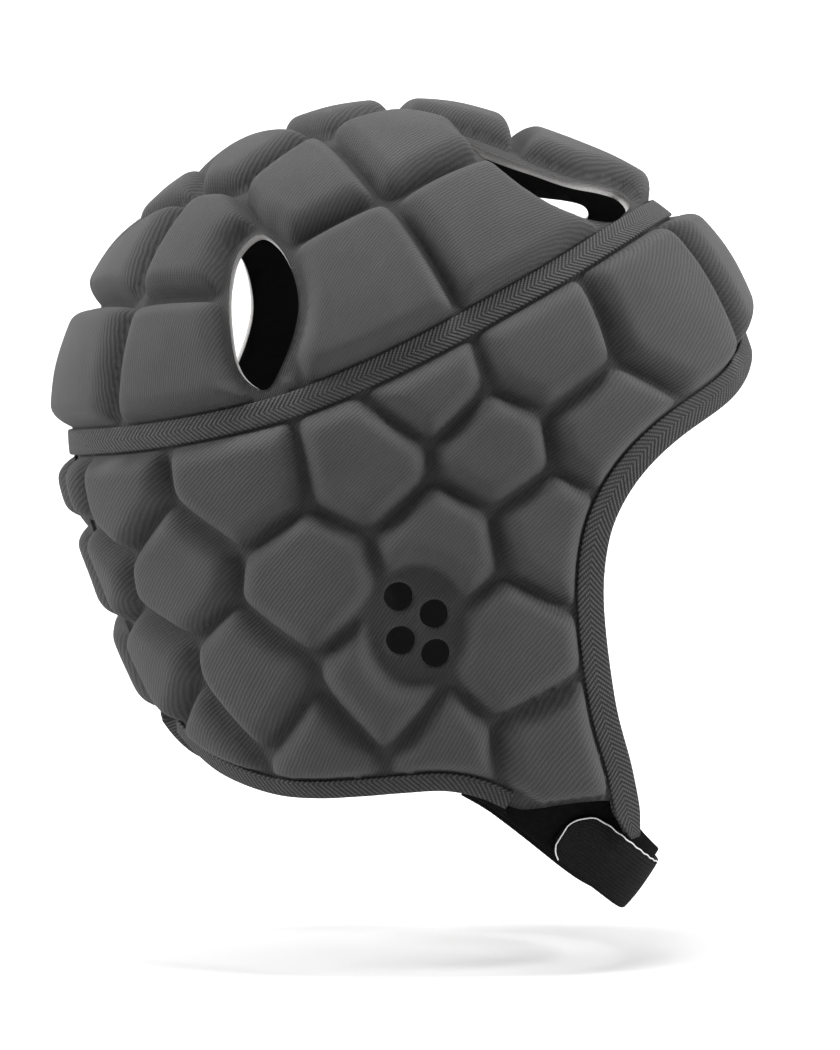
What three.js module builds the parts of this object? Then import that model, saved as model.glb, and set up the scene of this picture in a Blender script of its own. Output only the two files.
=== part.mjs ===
// Rugby scrum cap: two padded panels that meet at a taped seam round the head, bound edges,
// an elastic gusset behind the gap at the back, and a strap that goes round under the chin.
//
// Millimetres. The wearer looks along -Y, +Z is up and the wearer's right is -X.
// The origin is the inside of the crown's top, where the cap rests on the head.
//
// Places on the cap are given as two angles seen from the middle of the head:
// round, from the front (0) round the wearer's right ear (90) to the back (180),
// and rise, above the level through the head's middle. The left side is the mirror image.

import * as THREE from "three";

// Sizes

const HEAD_HALF_WIDTH = 77;     // inside, from the middle to the wall over the ears
const HEAD_REACH = 96;          // inside, the middle plane's reach that HEAD_SECTION shares out
const WEB = 2.5;                // laminate between the pads
const PAD_RISE = 7.5;           // pads above the web
const PAD_SHOULDER = 8.5;       // width of the rounded slope round a pad
const SHOULDER_POWER = 2.3;     // how steeply that slope starts
const PAD_GROOVE = 1.8;         // floor of the groove between two pads
const CORNER_SHARPNESS = 0.9;   // a larger number makes squarer pad corners
const SEAM_GAP = 0.4;           // between the two panels, under the tape
const CLEARANCE = 0.3;          // between pieces that lie on each other
const LINING_CLEARANCE = 0.6;   // the same on the inside, where the wall is hollow
const TAPE_WIDTH = 7.4;
const TAPE_THICKNESS = 1.1;
const BINDING_WIDTH = 7.3;      // of the face opening's binding, as it shows
const NECK_BINDING_WIDTH = 4.5;
const BINDING_THICKNESS = 0.9;
const BINDING_END_SHARE = 0.4;  // of its width, at the chin
const PAD_TO_TRIM = 0.6;        // from a pad's foot to the tape or binding beside it
const PAD_TO_BACK_EDGE = 1.5;
const PAD_TO_VENT = 2.5;
const PAD_TO_EAR_PLATE = 0.4;
const PAD_TO_TAB = 1.5;         // where the tab, not a binding, covers the lower edge
const EAR_PLATE_HALF = { across: 14, up: 17 };
const EAR_HOLE_DIAMETER = 8.8;
const STRAP_WIDTH = 19;
const STRAP_THICKNESS = 1.6;
const TAB_WIDTH = 22;
const TAB_THICKNESS = 1.5;
const GUSSET_THICKNESS = 1;
const GUSSET_CLEARANCE = 0.9;
const GUSSET_TUCK = 3;          // how far the gusset reaches behind each edge, in degrees
const GUSSET_RISE = { top: -3, bottom: -33 };

// Mesh steps

const PAD_RAYS = 60;
const PAD_SIDES = 12;
const WIDE_PAD_SIDES = 18;
const PAD_RINGS = [0.28, 0.72]; // share of the shoulder's width, from the foot inwards
const RING_LEAST_SHARE = 0.3;
const DIAGONAL_PASSES = 60;
const PAD_SPAN = 30;            // a pad that reaches further from its middle gets more rings
const SEAM_STEP = 5;            // degrees
const FACE_STEPS = 24;
const LOWER_STEPS = 26;
const BACK_STEPS = 8;
const VENT_STEPS = 20;
const HOLE_STEPS = 10;
const STRAP_STEPS = 36;
const STRAP_PARTS = 4;
const TAB_STEPS = 14;
const GUSSET_STEPS = 10;

// The middle plane's outline, as shares of HEAD_REACH by the angle above forward.
// Square is the power that rounds the cap from that outline out to the sides.

const HEAD_SECTION = [
  { angle: -180, reach: 1.03, square: 2.2 },
  { angle: -165, reach: 1.015, square: 2.2 },
  { angle: -150, reach: 1.035, square: 2.2 },
  { angle: -132, reach: 1.155, square: 2.4 },
  { angle: -110, reach: 1.44, square: 2.7 },
  { angle: -90, reach: 1.665, square: 3.0 },
  { angle: -68, reach: 1.75, square: 3.0 },
  { angle: -58, reach: 1.635, square: 3.0 },
  { angle: -40, reach: 1.395, square: 2.8 },
  { angle: -15, reach: 1.21, square: 2.6 },
  { angle: 14, reach: 1.155, square: 2.5 },
  { angle: 35, reach: 1.12, square: 2.4 },
  { angle: 60, reach: 1.01, square: 2.2 },
  { angle: 90, reach: 0.985, square: 2.1 },
  { angle: 120, reach: 0.975, square: 2.1 },
  { angle: 150, reach: 1.01, square: 2.2 },
];

// Lines on the cap, in degrees: [round, rise]

const SEAM = [
  [0, 39.5], [15, 39.2], [30, 38], [45, 35.2], [60, 31], [75, 25.8], [90, 19],
  [105, 11.7], [120, 5.3], [135, 1.3], [150, -1], [165, -1.8], [180, -2],
];
const FACE_EDGE = [
  [0, 14.5], [9, 13.5], [17, 11], [27, 6], [39, 0], [47, -7], [52.5, -16], [54.5, -25],
  [54, -34], [51, -43], [46, -49], [42.5, -52.5], [40, -55],
];
const LOWER_EDGE = [
  [40, -55], [43.5, -53.4], [48, -52.8], [53, -53.8], [58, -55.2], [63, -56.6], [68, -57.4],
  [76, -57], [85, -57], [95, -57.6], [106, -58.2], [118, -58.5], [129, -58], [144, -56],
  [153, -53.8], [160, -51.5],
];
const BACK_EDGE = [[160, -51.5], [166, -43], [170, -34], [173, -24], [175, -13], [175.8, -2]];
const SIDE_VENT = [
  [134, 40.5], [128, 38.5], [123, 33.5], [120, 27], [120, 20], [122, 13], [124.5, 8.5],
  [128, 9.5], [131, 13], [133.5, 20], [136, 28.5], [137, 36],
];
const FRONT_VENT = [
  [60, 68], [55, 64], [49, 60], [43, 56.5], [35, 51], [27, 47.5], [24, 45], [27, 42],
  [33, 40.2], [39, 39.3], [45, 42], [51.5, 47.5], [56.5, 54], [59.5, 61],
];
const EAR_PLATE = [93, -37.2];
const EAR_HOLES = [[97, -32.8], [89, -35.6], [96.5, -39.6], [88.5, -41.4]];
const TAB_LINE = [
  [69, -57], [60, -56.5], [52, -56.8], [44, -57.6], [36, -58.8], [28, -59.8], [20, -60.6],
];
const STRAP_LINE = [
  [56, -58.4], [50, -58.4], [44, -58.9], [36, -59.7], [26, -60.6], [13, -61.3], [0, -61.5],
  [-13, -61.3], [-26, -60.4], [-37, -59.2], [-46, -58], [-54, -57], [-62, -56.5],
];
const NECK_BINDING_START = 68;   // degrees round, where the tab leaves the lower edge to it
const TAB_EDGE_END = 62;

// Pads. Each pad fills its panel out to the lines half way to its neighbours. A pad with
// more than one row is one long pad, and a middle pad crosses to the other side.

const CROWN_PADS = [
  { pad: "front", round: 0, rise: 57, middle: true },
  { pad: "top_front", round: 0, rise: 80, middle: true },
  { pad: "top_back", round: 180, rise: 79, middle: true },
  { pad: "rear_upper", round: 163, rise: 58.5, middle: true },
  { pad: "rear_small", round: 180, rise: 46, middle: true },
  { pad: "rear_middle", round: 167, rise: 34, middle: true },
  { pad: "rear_lower", round: 166, rise: 12, middle: true },
  { pad: "rear_flank_upper", round: 149.5, rise: 36 },
  { pad: "rear_flank_lower", round: 145.5, rise: 13 },
  { pad: "top_flank_back", round: 127, rise: 54 },
  { pad: "top_flank_front", round: 97, rise: 66 },
  { pad: "temple_back", round: 104.5, rise: 35 },
  { pad: "temple_front", round: 76, rise: 46 },
];
const SIDE_PADS = [
  { pad: "brow_inner", round: 12.5, rise: 25 },
  { pad: "brow_outer", round: 39, rise: 21 },
  { pad: "upper_front", round: 65, rise: 17 },
  { pad: "upper_back", round: 91, rise: 11 },
  { pad: "cheek_upper", round: 53, rise: -1 },
  { pad: "middle_front", round: 76, rise: -4.5 },
  { pad: "middle_back", round: 104, rise: -6.5 },
  { pad: "rear_high", round: 130.5, rise: -10.5 },
  { pad: "cheek_middle", round: 64, rise: -20 },
  { pad: "nape_high", round: 158, rise: -10.5 },
  { pad: "nape_edge", round: 174.5, rise: -9 },
  { pad: "nape_low_edge", round: 171, rise: -25 },
  { pad: "nape_low", round: 145, rise: -26 },
  { pad: "ear_back", round: 117, rise: -30 },
  { pad: "ear_top", round: 87, rise: -24.5 },
  { pad: "cheek_lower", round: 72, rise: -40 },
  { pad: "ear_below", round: 100.5, rise: -46 },
  { pad: "neck_edge", round: 157, rise: -44 },
  { pad: "neck_upper", round: 130, rise: -44.5 },
  { pad: "neck_rear", round: 144, rise: -53 },
  { pad: "neck_middle", round: 114, rise: -55 },
  { pad: "neck_front", round: 86, rise: -55.5 },
  { pad: "chin_corner", round: 61, rise: -51 },
];

// Looks

const CLOTH_GREY = { color: 0x4a4a4c, roughness: 0.95, metalness: 0 };
const TAPE_GREY = { color: 0x474748, roughness: 0.9, metalness: 0 };
const MESH_GREY = { color: 0xa9a9ab, roughness: 0.9, metalness: 0 };
const FASTENER_BLACK = { color: 0x101012, roughness: 1, metalness: 0 };

// Smooth lines through a few chosen points

function betweenFour(before, from, to, after, share) {
  return 0.5 * (2 * from + (to - before) * share
    + (2 * before - 5 * from + 4 * to - after) * share ** 2
    + (3 * from - before - 3 * to + after) * share ** 3);
}

function smoothLine(points, closed) {
  const spans = closed ? points.length : points.length - 1;
  const pick = (index) => (closed
    ? points[(index + points.length) % points.length]
    : points[Math.min(Math.max(index, 0), points.length - 1)]);
  return (share) => {
    const place = Math.min(Math.max(share, 0), 1) * spans;
    const span = Math.min(Math.floor(place), spans - 1);
    const rows = [pick(span - 1), pick(span), pick(span + 1), pick(span + 2)];
    return [0, 1].map((axis) => betweenFour(...rows.map((row) => row[axis]), place - span));
  };
}

// Head shape. Vectors here are (to the right ear, forward, up) from the head's middle.

function sectionAt(angle) {
  const count = HEAD_SECTION.length;
  const turned = ((angle + 180) % 360 + 360) % 360 - 180;
  let row = count - 1;
  while (row > 0 && HEAD_SECTION[row].angle > turned) row -= 1;
  const at = (index) => {
    const wrapped = ((index % count) + count) % count;
    const turns = Math.floor(index / count);
    return { ...HEAD_SECTION[wrapped], angle: HEAD_SECTION[wrapped].angle + 360 * turns };
  };
  const [before, from, to, after] = [row - 1, row, row + 1, row + 2].map(at);
  const share = (turned - from.angle) / (to.angle - from.angle);
  const blend = (key) => {
    const slopeFrom = (to[key] - before[key]) / (to.angle - before.angle);
    const slopeTo = (after[key] - from[key]) / (after.angle - from.angle);
    const width = to.angle - from.angle;
    const ease = share * share * (3 - 2 * share);
    return (1 - ease) * from[key] + ease * to[key]
      + (share ** 3 - 2 * share ** 2 + share) * slopeFrom * width
      + (share ** 3 - share ** 2) * slopeTo * width;
  };
  return { reach: blend("reach") * HEAD_REACH, square: blend("square") };
}

function level(place) {
  const { reach, square } = sectionAt(THREE.MathUtils.radToDeg(Math.atan2(place.z, place.y)));
  const side = Math.abs(place.x) / HEAD_HALF_WIDTH;
  const middle = Math.hypot(place.y, place.z) / reach;
  return (side ** square + middle ** square) ** (1 / square);
}

function direction([round, rise]) {
  const turn = THREE.MathUtils.degToRad(round);
  const lift = THREE.MathUtils.degToRad(rise);
  return new THREE.Vector3(
    Math.sin(turn) * Math.cos(lift),
    Math.cos(turn) * Math.cos(lift),
    Math.sin(lift),
  );
}

function angles(place) {
  const unit = place.clone().normalize();
  return [
    THREE.MathUtils.radToDeg(Math.atan2(unit.x, unit.y)),
    THREE.MathUtils.radToDeg(Math.asin(THREE.MathUtils.clamp(unit.z, -1, 1))),
  ];
}

function headPoint(place) {
  return place.clone().divideScalar(level(place));
}

const NORMAL_STEP = 0.05;

function headNormal(place) {
  const slope = ["x", "y", "z"].map((axis) => {
    const ahead = place.clone();
    const behind = place.clone();
    ahead[axis] += NORMAL_STEP;
    behind[axis] -= NORMAL_STEP;
    return level(ahead) - level(behind);
  });
  return new THREE.Vector3(...slope).normalize();
}

function above(place, height) {
  const foot = headPoint(place);
  return foot.clone().addScaledVector(headNormal(foot), height);
}

function mirrored(place) {
  return new THREE.Vector3(-place.x, place.y, place.z);
}

const CROWN_TOP = headPoint(direction([0, 90])).z;

function toPart(place) {
  return [-place.x, -place.y, place.z - CROWN_TOP];
}

// Edges and the seam, as rows of directions

function alongLine(points, steps, closed = false) {
  const line = smoothLine(points, closed);
  const fine = steps * 8;
  const samples = Array.from({ length: fine + 1 }, (_, i) => headPoint(direction(line(i / fine))));
  const travelled = [0];
  for (let i = 1; i <= fine; i += 1) {
    travelled.push(travelled[i - 1] + samples[i].distanceTo(samples[i - 1]));
  }
  const count = closed ? steps : steps + 1;
  return Array.from({ length: count }, (_, i) => {
    const goal = (i / steps) * travelled[fine];
    let next = 1;
    while (next < fine && travelled[next] < goal) next += 1;
    const share = (goal - travelled[next - 1]) / (travelled[next] - travelled[next - 1]);
    return samples[next - 1].clone().lerp(samples[next], share).normalize();
  });
}

const seamLine = smoothLine(SEAM.map(([round, rise]) => [rise, round]), false);

function seamRise(round) {
  const share = THREE.MathUtils.clamp(Math.abs(round) / 180, 0, 1);
  return seamLine(share)[0];
}

function seamNear(round, offset) {
  const middle = headPoint(direction([round, seamRise(round)]));
  const lift = headPoint(direction([round, seamRise(round) + 0.5])).distanceTo(middle) / 0.5;
  return direction([round, seamRise(round) + offset / lift]);
}

const faceBothSides = [...FACE_EDGE.slice(1).reverse().map(([round, rise]) => [-round, rise]), ...FACE_EDGE];
const faceEdge = alongLine(faceBothSides, 2 * FACE_STEPS).slice(FACE_STEPS);
const lowerEdge = alongLine(LOWER_EDGE, LOWER_STEPS);
const backEdge = alongLine(BACK_EDGE, BACK_STEPS);
const sideVent = alongLine(SIDE_VENT, VENT_STEPS, true);
const frontVent = alongLine(FRONT_VENT, VENT_STEPS, true);
const seamRounds = Array.from({ length: 360 / SEAM_STEP }, (_, i) => -180 + i * SEAM_STEP);

// Distances over the cap, in millimetres

function distanceToLine(foot, line) {
  let nearest = Infinity;
  for (let i = 1; i < line.length; i += 1) {
    const start = line[i - 1];
    const span = line[i].clone().sub(start);
    const share = THREE.MathUtils.clamp(foot.clone().sub(start).dot(span) / span.lengthSq(), 0, 1);
    nearest = Math.min(nearest, foot.distanceTo(start.clone().addScaledVector(span, share)));
  }
  return nearest;
}

const onHead = (line, closed) => (closed ? [...line, line[0]] : line).map((dir) => headPoint(dir));
const faceLine = onHead(faceEdge);
const lowerLine = onHead(lowerEdge);
const backLine = onHead(backEdge);
const seamPoints = Array.from({ length: 61 }, (_, i) => headPoint(direction([3 * i, seamRise(3 * i)])));
const ventLines = [sideVent, frontVent].map((line) => onHead(line, true));
const earPlateCentre = headPoint(direction(EAR_PLATE));
const earPlateNormal = headNormal(earPlateCentre);
const earPlateAcross = new THREE.Vector3(0, 0, 1).cross(earPlateNormal).normalize();
const earPlateUp = earPlateNormal.clone().cross(earPlateAcross);

function earPlateDistance(foot) {
  const from = foot.clone().sub(earPlateCentre);
  const across = from.dot(earPlateAcross) / EAR_PLATE_HALF.across;
  const up = from.dot(earPlateUp) / EAR_PLATE_HALF.up;
  return (Math.hypot(across, up) - 1) * (EAR_PLATE_HALF.across + EAR_PLATE_HALF.up) / 2;
}

function crownEdges(foot) {
  return [
    distanceToLine(foot, seamPoints) - TAPE_WIDTH / 2 - PAD_TO_TRIM,
    distanceToLine(foot, ventLines[0]) - PAD_TO_VENT,
    distanceToLine(foot, ventLines[1]) - PAD_TO_VENT,
  ];
}

function sideEdges(foot) {
  const [round] = angles(foot);
  const bound = THREE.MathUtils.smoothstep(round, TAB_EDGE_END, NECK_BINDING_START);
  const lowerMargin = THREE.MathUtils.lerp(PAD_TO_TAB, NECK_BINDING_WIDTH + PAD_TO_TRIM, bound);
  return [
    distanceToLine(foot, seamPoints) - TAPE_WIDTH / 2 - PAD_TO_TRIM,
    distanceToLine(foot, faceLine) - BINDING_WIDTH - PAD_TO_TRIM,
    distanceToLine(foot, lowerLine) - lowerMargin,
    distanceToLine(foot, backLine) - PAD_TO_BACK_EDGE,
    earPlateDistance(foot) - PAD_TO_EAR_PLATE,
  ];
}

// Pads

function padSites(rows) {
  const sites = [];
  for (const row of rows) {
    const site = direction([row.round, row.rise]);
    sites.push({ pad: row.pad, site });
    if (row.round % 180 !== 0) {
      sites.push({ pad: row.middle ? row.pad : `${row.pad}_left`, site: mirrored(site) });
    }
  }
  return sites;
}

function padClearance(pad, sites, edges, place) {
  const unit = place.clone().normalize();
  const foot = headPoint(unit);
  const normal = headNormal(foot);
  const reach = foot.length();
  let own = null;
  for (const entry of sites) {
    if (entry.pad === pad && (!own || entry.site.dot(unit) > own.site.dot(unit))) own = entry;
  }
  const rightFoot = new THREE.Vector3(Math.abs(foot.x), foot.y, foot.z);
  const clear = edges(rightFoot);
  for (const entry of sites) {
    if (entry.pad === pad) continue;
    const apart = own.site.clone().sub(entry.site);
    const ahead = unit.dot(apart);
    const slope = apart.clone().addScaledVector(unit, -ahead).divideScalar(reach);
    slope.addScaledVector(normal, -slope.dot(normal));
    clear.push(ahead / Math.max(slope.length(), 1e-6) - PAD_GROOVE / 2);
  }
  const least = Math.min(...clear);
  const crowd = clear.reduce((sum, value) => sum + Math.exp(-CORNER_SHARPNESS * (value - least)), 0);
  return least - Math.log(crowd) / CORNER_SHARPNESS;
}

function padHeight(clear) {
  const share = THREE.MathUtils.clamp(clear / PAD_SHOULDER, 0, 1);
  return PAD_RISE * (1 - (1 - share) ** SHOULDER_POWER);
}

function stepped(centre, turn, distance) {
  const foot = headPoint(centre);
  const normal = headNormal(foot);
  const across = new THREE.Vector3(0, 0, 1).cross(normal);
  if (across.length() < 0.1) across.set(1, 0, 0).addScaledVector(normal, -normal.x);
  across.normalize();
  const up = normal.clone().cross(across);
  return foot.clone()
    .addScaledVector(across, distance * Math.cos(turn))
    .addScaledVector(up, distance * Math.sin(turn))
    .normalize();
}

function padMiddle(clearAt, sites) {
  let centre = sites.reduce((sum, entry) => sum.add(entry.site), new THREE.Vector3()).normalize();
  const sideways = sites.length === 1 || sites.every((entry) => entry.site.x > 0);
  for (let reach = 4; reach > 0.4; reach /= 2) {
    for (let tries = 0; tries < 12; tries += 1) {
      let best = null;
      const turns = sideways ? [0, 45, 90, 135, 180, 225, 270, 315] : [90, 270];
      for (const turn of turns) {
        const trial = stepped(centre, THREE.MathUtils.degToRad(turn), reach);
        if (clearAt(trial) > clearAt(best ?? centre) + 0.01) best = trial;
      }
      if (!best) break;
      centre = best;
    }
  }
  return centre;
}

function padOutline(clearAt, centre) {
  const reach = Array.from({ length: PAD_RAYS }, (_, i) => {
    const turn = (2 * Math.PI * i) / PAD_RAYS;
    let inside = 0;
    let outside = 2;
    while (outside < 80 && clearAt(stepped(centre, turn, outside)) > 0) {
      inside = outside;
      outside += 2;
    }
    for (let tries = 0; tries < 9; tries += 1) {
      const middle = (inside + outside) / 2;
      if (clearAt(stepped(centre, turn, middle)) > 0) inside = middle;
      else outside = middle;
    }
    return { turn, distance: Math.max(inside, 0.5) };
  });
  const feet = reach.map(({ turn, distance }) => headPoint(stepped(centre, turn, distance)));
  const travelled = [0];
  for (let i = 1; i <= PAD_RAYS; i += 1) {
    travelled.push(travelled[i - 1] + feet[i % PAD_RAYS].distanceTo(feet[i - 1]));
  }
  const wide = Math.max(...reach.map(({ distance }) => distance)) > PAD_SPAN;
  const sides = wide ? WIDE_PAD_SIDES : PAD_SIDES;
  const corners = Array.from({ length: sides }, (_, i) => {
    const goal = (i / sides) * travelled[PAD_RAYS];
    let next = 1;
    while (next < PAD_RAYS && travelled[next] < goal) next += 1;
    const share = (goal - travelled[next - 1]) / (travelled[next] - travelled[next - 1]);
    const from = reach[next - 1];
    const to = reach[next % PAD_RAYS];
    const turnTo = next === PAD_RAYS ? to.turn + 2 * Math.PI : to.turn;
    return {
      turn: from.turn + share * (turnTo - from.turn),
      distance: from.distance + share * (to.distance - from.distance),
    };
  });
  return pulledIn(corners, clearAt, centre);
}

// Where a side between two corners would cut across the groove, both corners move in.

function pulledIn(corners, clearAt, centre) {
  const places = corners.map(({ turn, distance }) => stepped(centre, turn, distance));
  const cuts = places.map((place, i) => {
    const next = places[(i + 1) % places.length];
    return Math.max(0, -clearAt(place.clone().add(next)));
  });
  return corners.map(({ turn, distance }, i) => {
    const pull = Math.max(cuts[i], cuts[(i + cuts.length - 1) % cuts.length]);
    return { turn, distance: Math.max(distance - pull, distance / 2) };
  });
}

// How far out along a ray the pad's foot is first cleared by as much as the goal.

function distanceAtClearance(clearAt, centre, turn, distance, goal) {
  let inset = goal;
  while (inset < goal * 2.5 && clearAt(stepped(centre, turn, distance - inset)) < goal) {
    inset += goal / 6;
  }
  return Math.max(distance - inset, distance * RING_LEAST_SHARE);
}

function buildPad(pad, sites, edges) {
  const own = sites.filter((entry) => entry.pad === pad);
  const clearAt = (place) => padClearance(pad, sites, edges, place);
  const centre = padMiddle(clearAt, own);
  const outline = padOutline(clearAt, centre);
  const shoulder = Math.min(PAD_SHOULDER, clearAt(centre));
  const ring = (goal) => outline.map(({ turn, distance }) => {
    const place = stepped(centre, turn, distanceAtClearance(clearAt, centre, turn, distance, goal));
    return above(place, WEB + padHeight(clearAt(place)));
  });
  const spans = Math.ceil(Math.max(...outline.map(({ distance }) => distance)) / PAD_SPAN);
  const wide = Array.from({ length: spans - 1 }, (_, i) => 1 - (i + 1) / spans);
  const places = wide.map((share) => (
    outline.map(({ turn, distance }) => stepped(centre, turn, distance * share))
  ));
  return {
    foot: outline.map(({ turn, distance }) => stepped(centre, turn, distance)),
    rings: [
      ...PAD_RINGS.map((share) => ring(share * shoulder)),
      ...places.map((row) => row.map((place) => above(place, WEB + padHeight(clearAt(place))))),
    ],
    under: places.map((row) => row.map((place) => above(place, 0))),
    centre,
    top: above(centre, WEB + padHeight(clearAt(centre))),
  };
}

function mirroredPad(pad) {
  return {
    foot: pad.foot.map(mirrored),
    rings: pad.rings.map((ring) => ring.map(mirrored)),
    under: pad.under.map((ring) => ring.map(mirrored)),
    centre: mirrored(pad.centre),
    top: mirrored(pad.top),
  };
}

function buildPads(rows, edges) {
  const sites = padSites(rows);
  const names = [...new Set(rows.map((row) => row.pad))];
  const pads = [];
  for (const name of names) {
    const pad = buildPad(name, sites, edges);
    pads.push(pad);
    if (!rows.find((row) => row.pad === name).middle) pads.push(mirroredPad(pad));
  }
  return pads;
}

// Closed meshes

class Solid {
  constructor() {
    this.points = [];
    this.faces = [];
  }

  add(place) {
    this.points.push(place);
    return this.points.length - 1;
  }

  face(...corners) {
    this.faces.push(corners);
  }

  loops(first, second) {
    for (let i = 0; i < first.length; i += 1) {
      const next = (i + 1) % first.length;
      this.face(first[i], first[next], second[next]);
      this.face(first[i], second[next], second[i]);
    }
  }

  volume() {
    let total = 0;
    for (const [a, b, c] of this.faces) {
      const cross = new THREE.Vector3().crossVectors(this.points[b], this.points[c]);
      total += this.points[a].dot(cross);
    }
    return total / 6;
  }

  mesh(name, look) {
    if (this.volume() < 0) this.faces = this.faces.map(([a, b, c]) => [a, c, b]);
    const geometry = new THREE.BufferGeometry();
    geometry.setAttribute("position", new THREE.Float32BufferAttribute(this.points.flatMap(toPart), 3));
    geometry.setIndex(this.faces.flat());
    geometry.computeVertexNormals();
    const mesh = new THREE.Mesh(geometry, new THREE.MeshStandardMaterial(look));
    mesh.name = name;
    return mesh;
  }
}

// Turning the longer diagonals round keeps the triangles short, so that they follow the curve.

function angleAt(corner, first, second) {
  return first.clone().sub(corner).angleTo(second.clone().sub(corner));
}

function flatArea(a, b, c) {
  return (b.x - a.x) * (c.y - a.y) - (b.y - a.y) * (c.x - a.x);
}

function turnDiagonals(triangles, flat, places) {
  const key = (a, b) => (a < b ? `${a},${b}` : `${b},${a}`);
  for (let pass = 0; pass < DIAGONAL_PASSES; pass += 1) {
    const beside = new Map();
    triangles.forEach((corners, index) => {
      corners.forEach((a, i) => {
        const side = key(a, corners[(i + 1) % 3]);
        beside.set(side, [...(beside.get(side) ?? []), index]);
      });
    });
    const changed = new Set();
    for (const [side, pair] of beside) {
      if (pair.length !== 2 || changed.has(pair[0]) || changed.has(pair[1])) continue;
      const ends = side.split(",").map(Number);
      const first = triangles[pair[0]];
      const at = first.findIndex((a, i) => key(a, first[(i + 1) % 3]) === side);
      const [from, to, left] = [first[at], first[(at + 1) % 3], first[(at + 2) % 3]];
      const right = triangles[pair[1]].find((a) => !ends.includes(a));
      const areas = [flatArea(flat[left], flat[from], flat[right]),
        flatArea(flat[left], flat[right], flat[to])];
      const kept = Math.sign(flatArea(flat[from], flat[to], flat[left]));
      if (areas.some((area) => area * kept <= 1e-6)) continue;
      const opposite = angleAt(places[left], places[from], places[to])
        + angleAt(places[right], places[from], places[to]);
      if (opposite <= Math.PI + 1e-6) continue;
      triangles[pair[0]] = [left, from, right];
      triangles[pair[1]] = [left, right, to];
      changed.add(pair[0]);
      changed.add(pair[1]);
    }
    if (changed.size === 0) break;
  }
  return triangles;
}

// A padded panel: its web is cut into triangles on a flat map, round the feet of its pads.

function paddedPanel(name, look, outline, holes, pads, toMap) {
  const solid = new Solid();
  const border = [outline, ...holes, ...pads.map((pad) => pad.foot)];
  const outer = [];
  const inner = [];
  for (const place of border.flat()) {
    outer.push(solid.add(above(place, WEB)));
    inner.push(solid.add(above(place, 0)));
  }
  const flat = border.map((loop) => loop.map(toMap));
  const places = border.flat();
  const cut = THREE.ShapeUtils.triangulateShape(flat[0], flat.slice(1));
  const web = turnDiagonals(cut, flat.flat(), inner.map((index) => solid.points[index]));
  let facing = 0;
  for (const [a, b, c] of web) {
    const [pa, pb, pc] = [a, b, c].map((i) => solid.points[outer[i]]);
    facing += pb.clone().sub(pa).cross(pc.clone().sub(pa)).dot(places[a]);
  }
  const skin = web.map(([a, b, c]) => (facing > 0 ? [a, b, c] : [a, c, b]));
  const open = new Map();
  for (const [a, b, c] of skin) {
    solid.face(outer[a], outer[b], outer[c]);
    solid.face(inner[a], inner[c], inner[b]);
    for (const [from, to] of [[a, b], [b, c], [c, a]]) {
      if (open.has(`${to},${from}`)) open.delete(`${to},${from}`);
      else open.set(`${from},${to}`, [from, to]);
    }
  }
  let start = outline.length + holes.reduce((sum, hole) => sum + hole.length, 0);
  const walled = start;
  for (const [from, to] of open.values()) {
    if (from >= walled) continue;
    solid.face(outer[to], outer[from], inner[from]);
    solid.face(outer[to], inner[from], inner[to]);
  }
  for (const pad of pads) {
    const count = pad.foot.length;
    const forward = open.has(`${start + 1},${start}`);
    const order = Array.from({ length: count }, (_, i) => start + (forward ? i : count - 1 - i));
    const turned = (ring) => (forward ? ring : [...ring].reverse());
    let last = order.map((i) => outer[i]);
    for (const ring of pad.rings) {
      const next = turned(ring).map((place) => solid.add(place));
      solid.loops(last, next);
      last = next;
    }
    let lowest = order.map((i) => inner[i]);
    for (const ring of pad.under) {
      const next = turned(ring).map((place) => solid.add(place));
      solid.loops(next, lowest);
      lowest = next;
    }
    const top = solid.add(pad.top);
    const under = solid.add(above(pad.centre, 0));
    for (let i = 0; i < count; i += 1) {
      const next = (i + 1) % count;
      solid.face(last[i], last[next], top);
      solid.face(lowest[next], lowest[i], under);
    }
    start += count;
  }
  return solid.mesh(name, look);
}

// A strip: one cross-section of [in from the line, height] pairs, carried along directions.

function strip(name, look, line, section, closed, inward, widthAt = () => 1, liftAt = () => 0) {
  const solid = new Solid();
  const feet = line.map((dir) => headPoint(dir));
  const last = feet.length - 1;
  const rings = feet.map((foot, i) => {
    const ahead = feet[closed ? (i + 1) % feet.length : Math.min(i + 1, last)];
    const behind = feet[closed ? (i + last) % feet.length : Math.max(i - 1, 0)];
    const across = headNormal(foot).cross(ahead.clone().sub(behind)).normalize();
    across.multiplyScalar(inward);
    const width = widthAt(i / last);
    const lift = liftAt(i / last);
    return section.map(([offset, height]) => (
      solid.add(above(foot.clone().addScaledVector(across, offset * width), height + lift))
    ));
  });
  for (let i = 1; i < rings.length; i += 1) solid.loops(rings[i - 1], rings[i]);
  if (closed) {
    solid.loops(rings[last], rings[0]);
  } else {
    const flat = section.map(([offset, height]) => new THREE.Vector2(offset, height));
    const turn = THREE.ShapeUtils.isClockWise(flat) ? -1 : 1;
    for (const corners of THREE.ShapeUtils.triangulateShape(flat, [])) {
      const area = THREE.ShapeUtils.area(corners.map((i) => flat[i]));
      const [a, b, c] = area * turn > 0 ? corners : [corners[0], corners[2], corners[1]];
      solid.face(rings[0][c], rings[0][b], rings[0][a]);
      solid.face(rings[last][a], rings[last][b], rings[last][c]);
    }
  }
  return solid.mesh(name, look);
}

function foldedBinding(width) {
  const outside = WEB + CLEARANCE;
  const lining = -LINING_CLEARANCE;
  return [
    [width, outside],
    [width, outside + BINDING_THICKNESS],
    [-CLEARANCE - BINDING_THICKNESS, outside + BINDING_THICKNESS],
    [-CLEARANCE - BINDING_THICKNESS, lining - BINDING_THICKNESS],
    [width - 1, lining - BINDING_THICKNESS],
    [width - 1, lining],
    [-CLEARANCE, lining],
    [-CLEARANCE, outside],
  ];
}

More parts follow.
